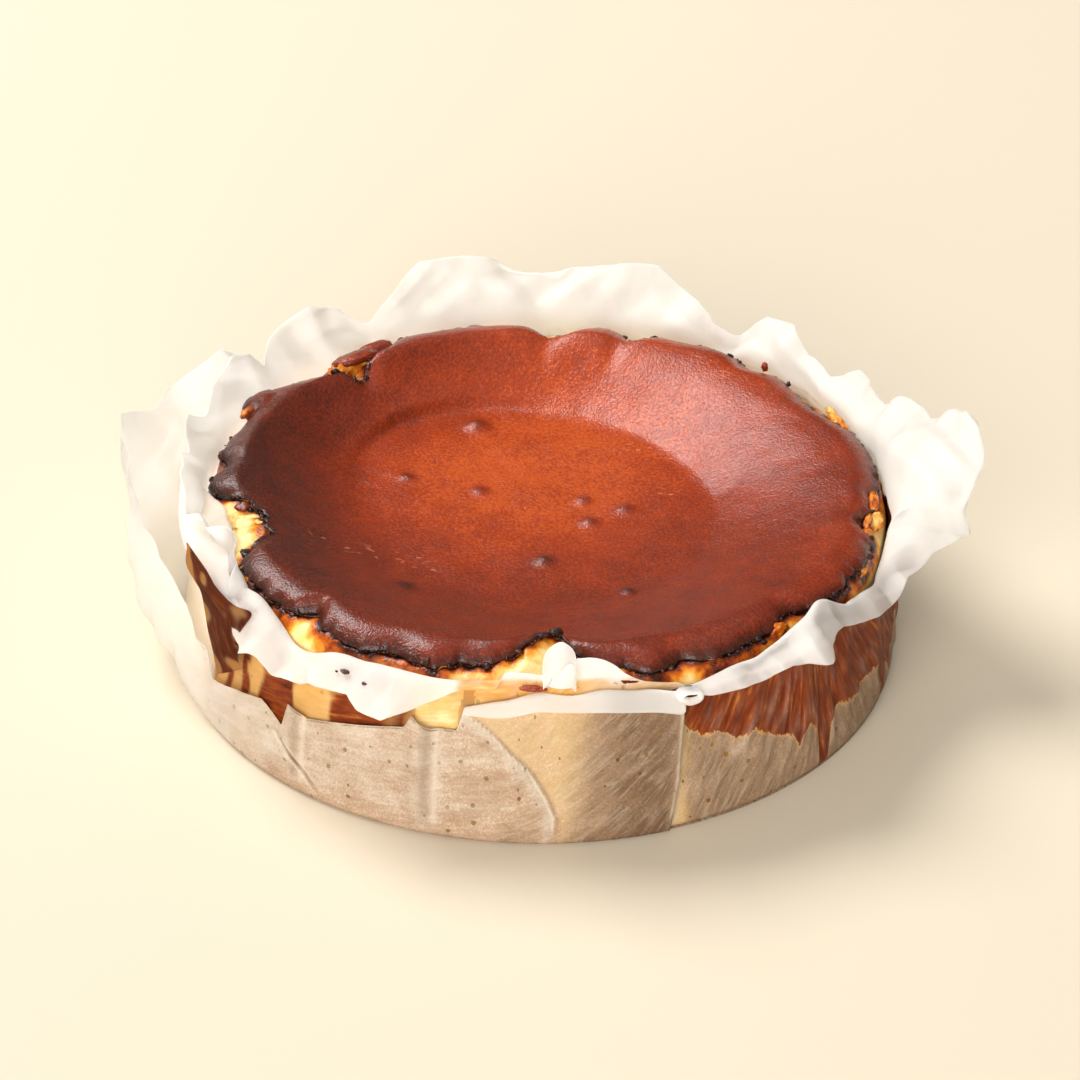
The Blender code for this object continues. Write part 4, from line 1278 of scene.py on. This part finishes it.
class BuildStage(bpy.types.Operator):
    """Builds the floor, the lamps and the camera."""
    bl_idname = "cheesecake.build_stage"
    bl_label = "Build stage"

    def execute(self, context):
        stage = context.scene.cheesecake_stage
        scene = context.scene
        scene.view_settings.view_transform = "Standard"
        add_floor(stage)
        add_lamp("key", KEY_PLACE, KEY_SIZE, stage.key_power, "#FFFDFB")
        add_lamp("fill", FILL_PLACE, FILL_SIZE, stage.fill_power, "#FFFCF8")
        scene.world = studio_sky(stage)
        scene.camera = add_camera()
        return {"FINISHED"}


def studio_sky(stage):
    """A soft white ceiling: bright overhead and dim towards the horizon."""
    world = bpy.data.worlds.new("studio")
    add = cleared_nodes(world)
    up = add("SeparateXYZ", add("TexCoord", output="Generated"), output="Z")
    share = add("MapRange", up, From_Min=0.58, From_Max=0.95, To_Min=0.16, To_Max=1.0)
    power = add("Math", share, stage.sky_strength, **TIMES)
    add("OutputWorld", add("Background", Color="#FFFDFA", Strength=power))
    return world


def floor_material(stage):
    """Seamless paper: matt, with a grain of 1.5 mm that breaks up its evenness."""
    material = bpy.data.materials.new("Seamless paper, matt")
    add = cleared_nodes(material)
    grain = add("TexNoise", Vector=add("TexCoord", output="Object"), Scale=1.0 / 1.5e-3, Detail=1.0)
    bump = add("Bump", Strength=0.05, Distance=0.05 * MM, Height=grain)
    add("OutputMaterial", add("BsdfPrincipled", Base_Color=stage.floor, Roughness=0.9, Normal=bump))
    return material


def add_floor(stage):
    mesh = bpy.data.meshes.new("floor")
    corners = [(x * FLOOR_HALF, y * FLOOR_HALF, 0.0) for x, y in ((-1, -1), (1, -1), (1, 1), (-1, 1))]
    mesh.from_pydata(corners, [], [(0, 1, 2, 3)])
    mesh.materials.append(floor_material(stage))
    floor = add_object("floor", mesh)


def add_lamp(name, place, size, power, colour):
    lamp = bpy.data.lights.new(name, "AREA")
    lamp.shape = "DISK"
    lamp.size = size
    lamp.energy = power
    lamp.color = linear(colour)[:3]
    holder = add_object(name, lamp)
    holder.location = place
    holder.rotation_euler = (-Vector(place)).to_track_quat("-Z", "Y").to_euler()


def add_camera():
    elevation = math.radians(VIEW_ELEVATION)
    away = Vector((0.0, -math.cos(elevation), math.sin(elevation)))
    camera = bpy.data.cameras.new("camera")
    camera.sensor_width = SENSOR
    camera.lens = LENS
    holder = add_object("camera", camera)
    aim = (-away).to_track_quat("-Z", "Y").to_matrix().to_4x4()
    holder.matrix_world = (Matrix.Translation(Vector(VIEW_TARGET) + away * VIEW_DISTANCE) @ aim
                           @ Matrix.Rotation(math.radians(VIEW_ROLL), 4, "Z"))
    return holder


class CheesecakePanel(bpy.types.Panel):
    """Lists the cheesecake's sizes and colours, and what builds each piece."""
    bl_idname = "VIEW3D_PT_cheesecake"
    bl_label = "Cheesecake"
    bl_space_type = "VIEW_3D"
    bl_region_type = "UI"
    bl_category = "Cheesecake"

    def draw(self, context):
        for build, group in STEPS:
            box = self.layout.box()
            box.operator(build.bl_idname)
            if group:
                settings = getattr(context.scene, group)
                for label in settings.__annotations__:
                    box.prop(settings, label)


GROUPS = {"cheesecake_cake": CakeSettings, "cheesecake_paper": PaperSettings,
          "cheesecake_stage": StageSettings}
STEPS = ((BuildCake, "cheesecake_cake"), (BuildTornBits, ""), (BuildPaper, "cheesecake_paper"),
         (BuildTongueAndRoll, ""), (BuildStage, "cheesecake_stage"))


def register():
    for settings in GROUPS.values():
        bpy.utils.register_class(settings)
    for label, settings in GROUPS.items():
        setattr(bpy.types.Scene, label, PointerProperty(type=settings))
    for build, _ in STEPS:
        bpy.utils.register_class(build)
    bpy.utils.register_class(CheesecakePanel)


def unregister():
    bpy.utils.unregister_class(CheesecakePanel)
    for build, _ in reversed(STEPS):
        bpy.utils.unregister_class(build)
    for label, settings in reversed(list(GROUPS.items())):
        delattr(bpy.types.Scene, label)
        bpy.utils.unregister_class(settings)


def main():
    register()
    for build, _ in STEPS:
        getattr(bpy.ops.cheesecake, build.bl_idname.split(".")[1])()


if __name__ == "__main__":
    main()
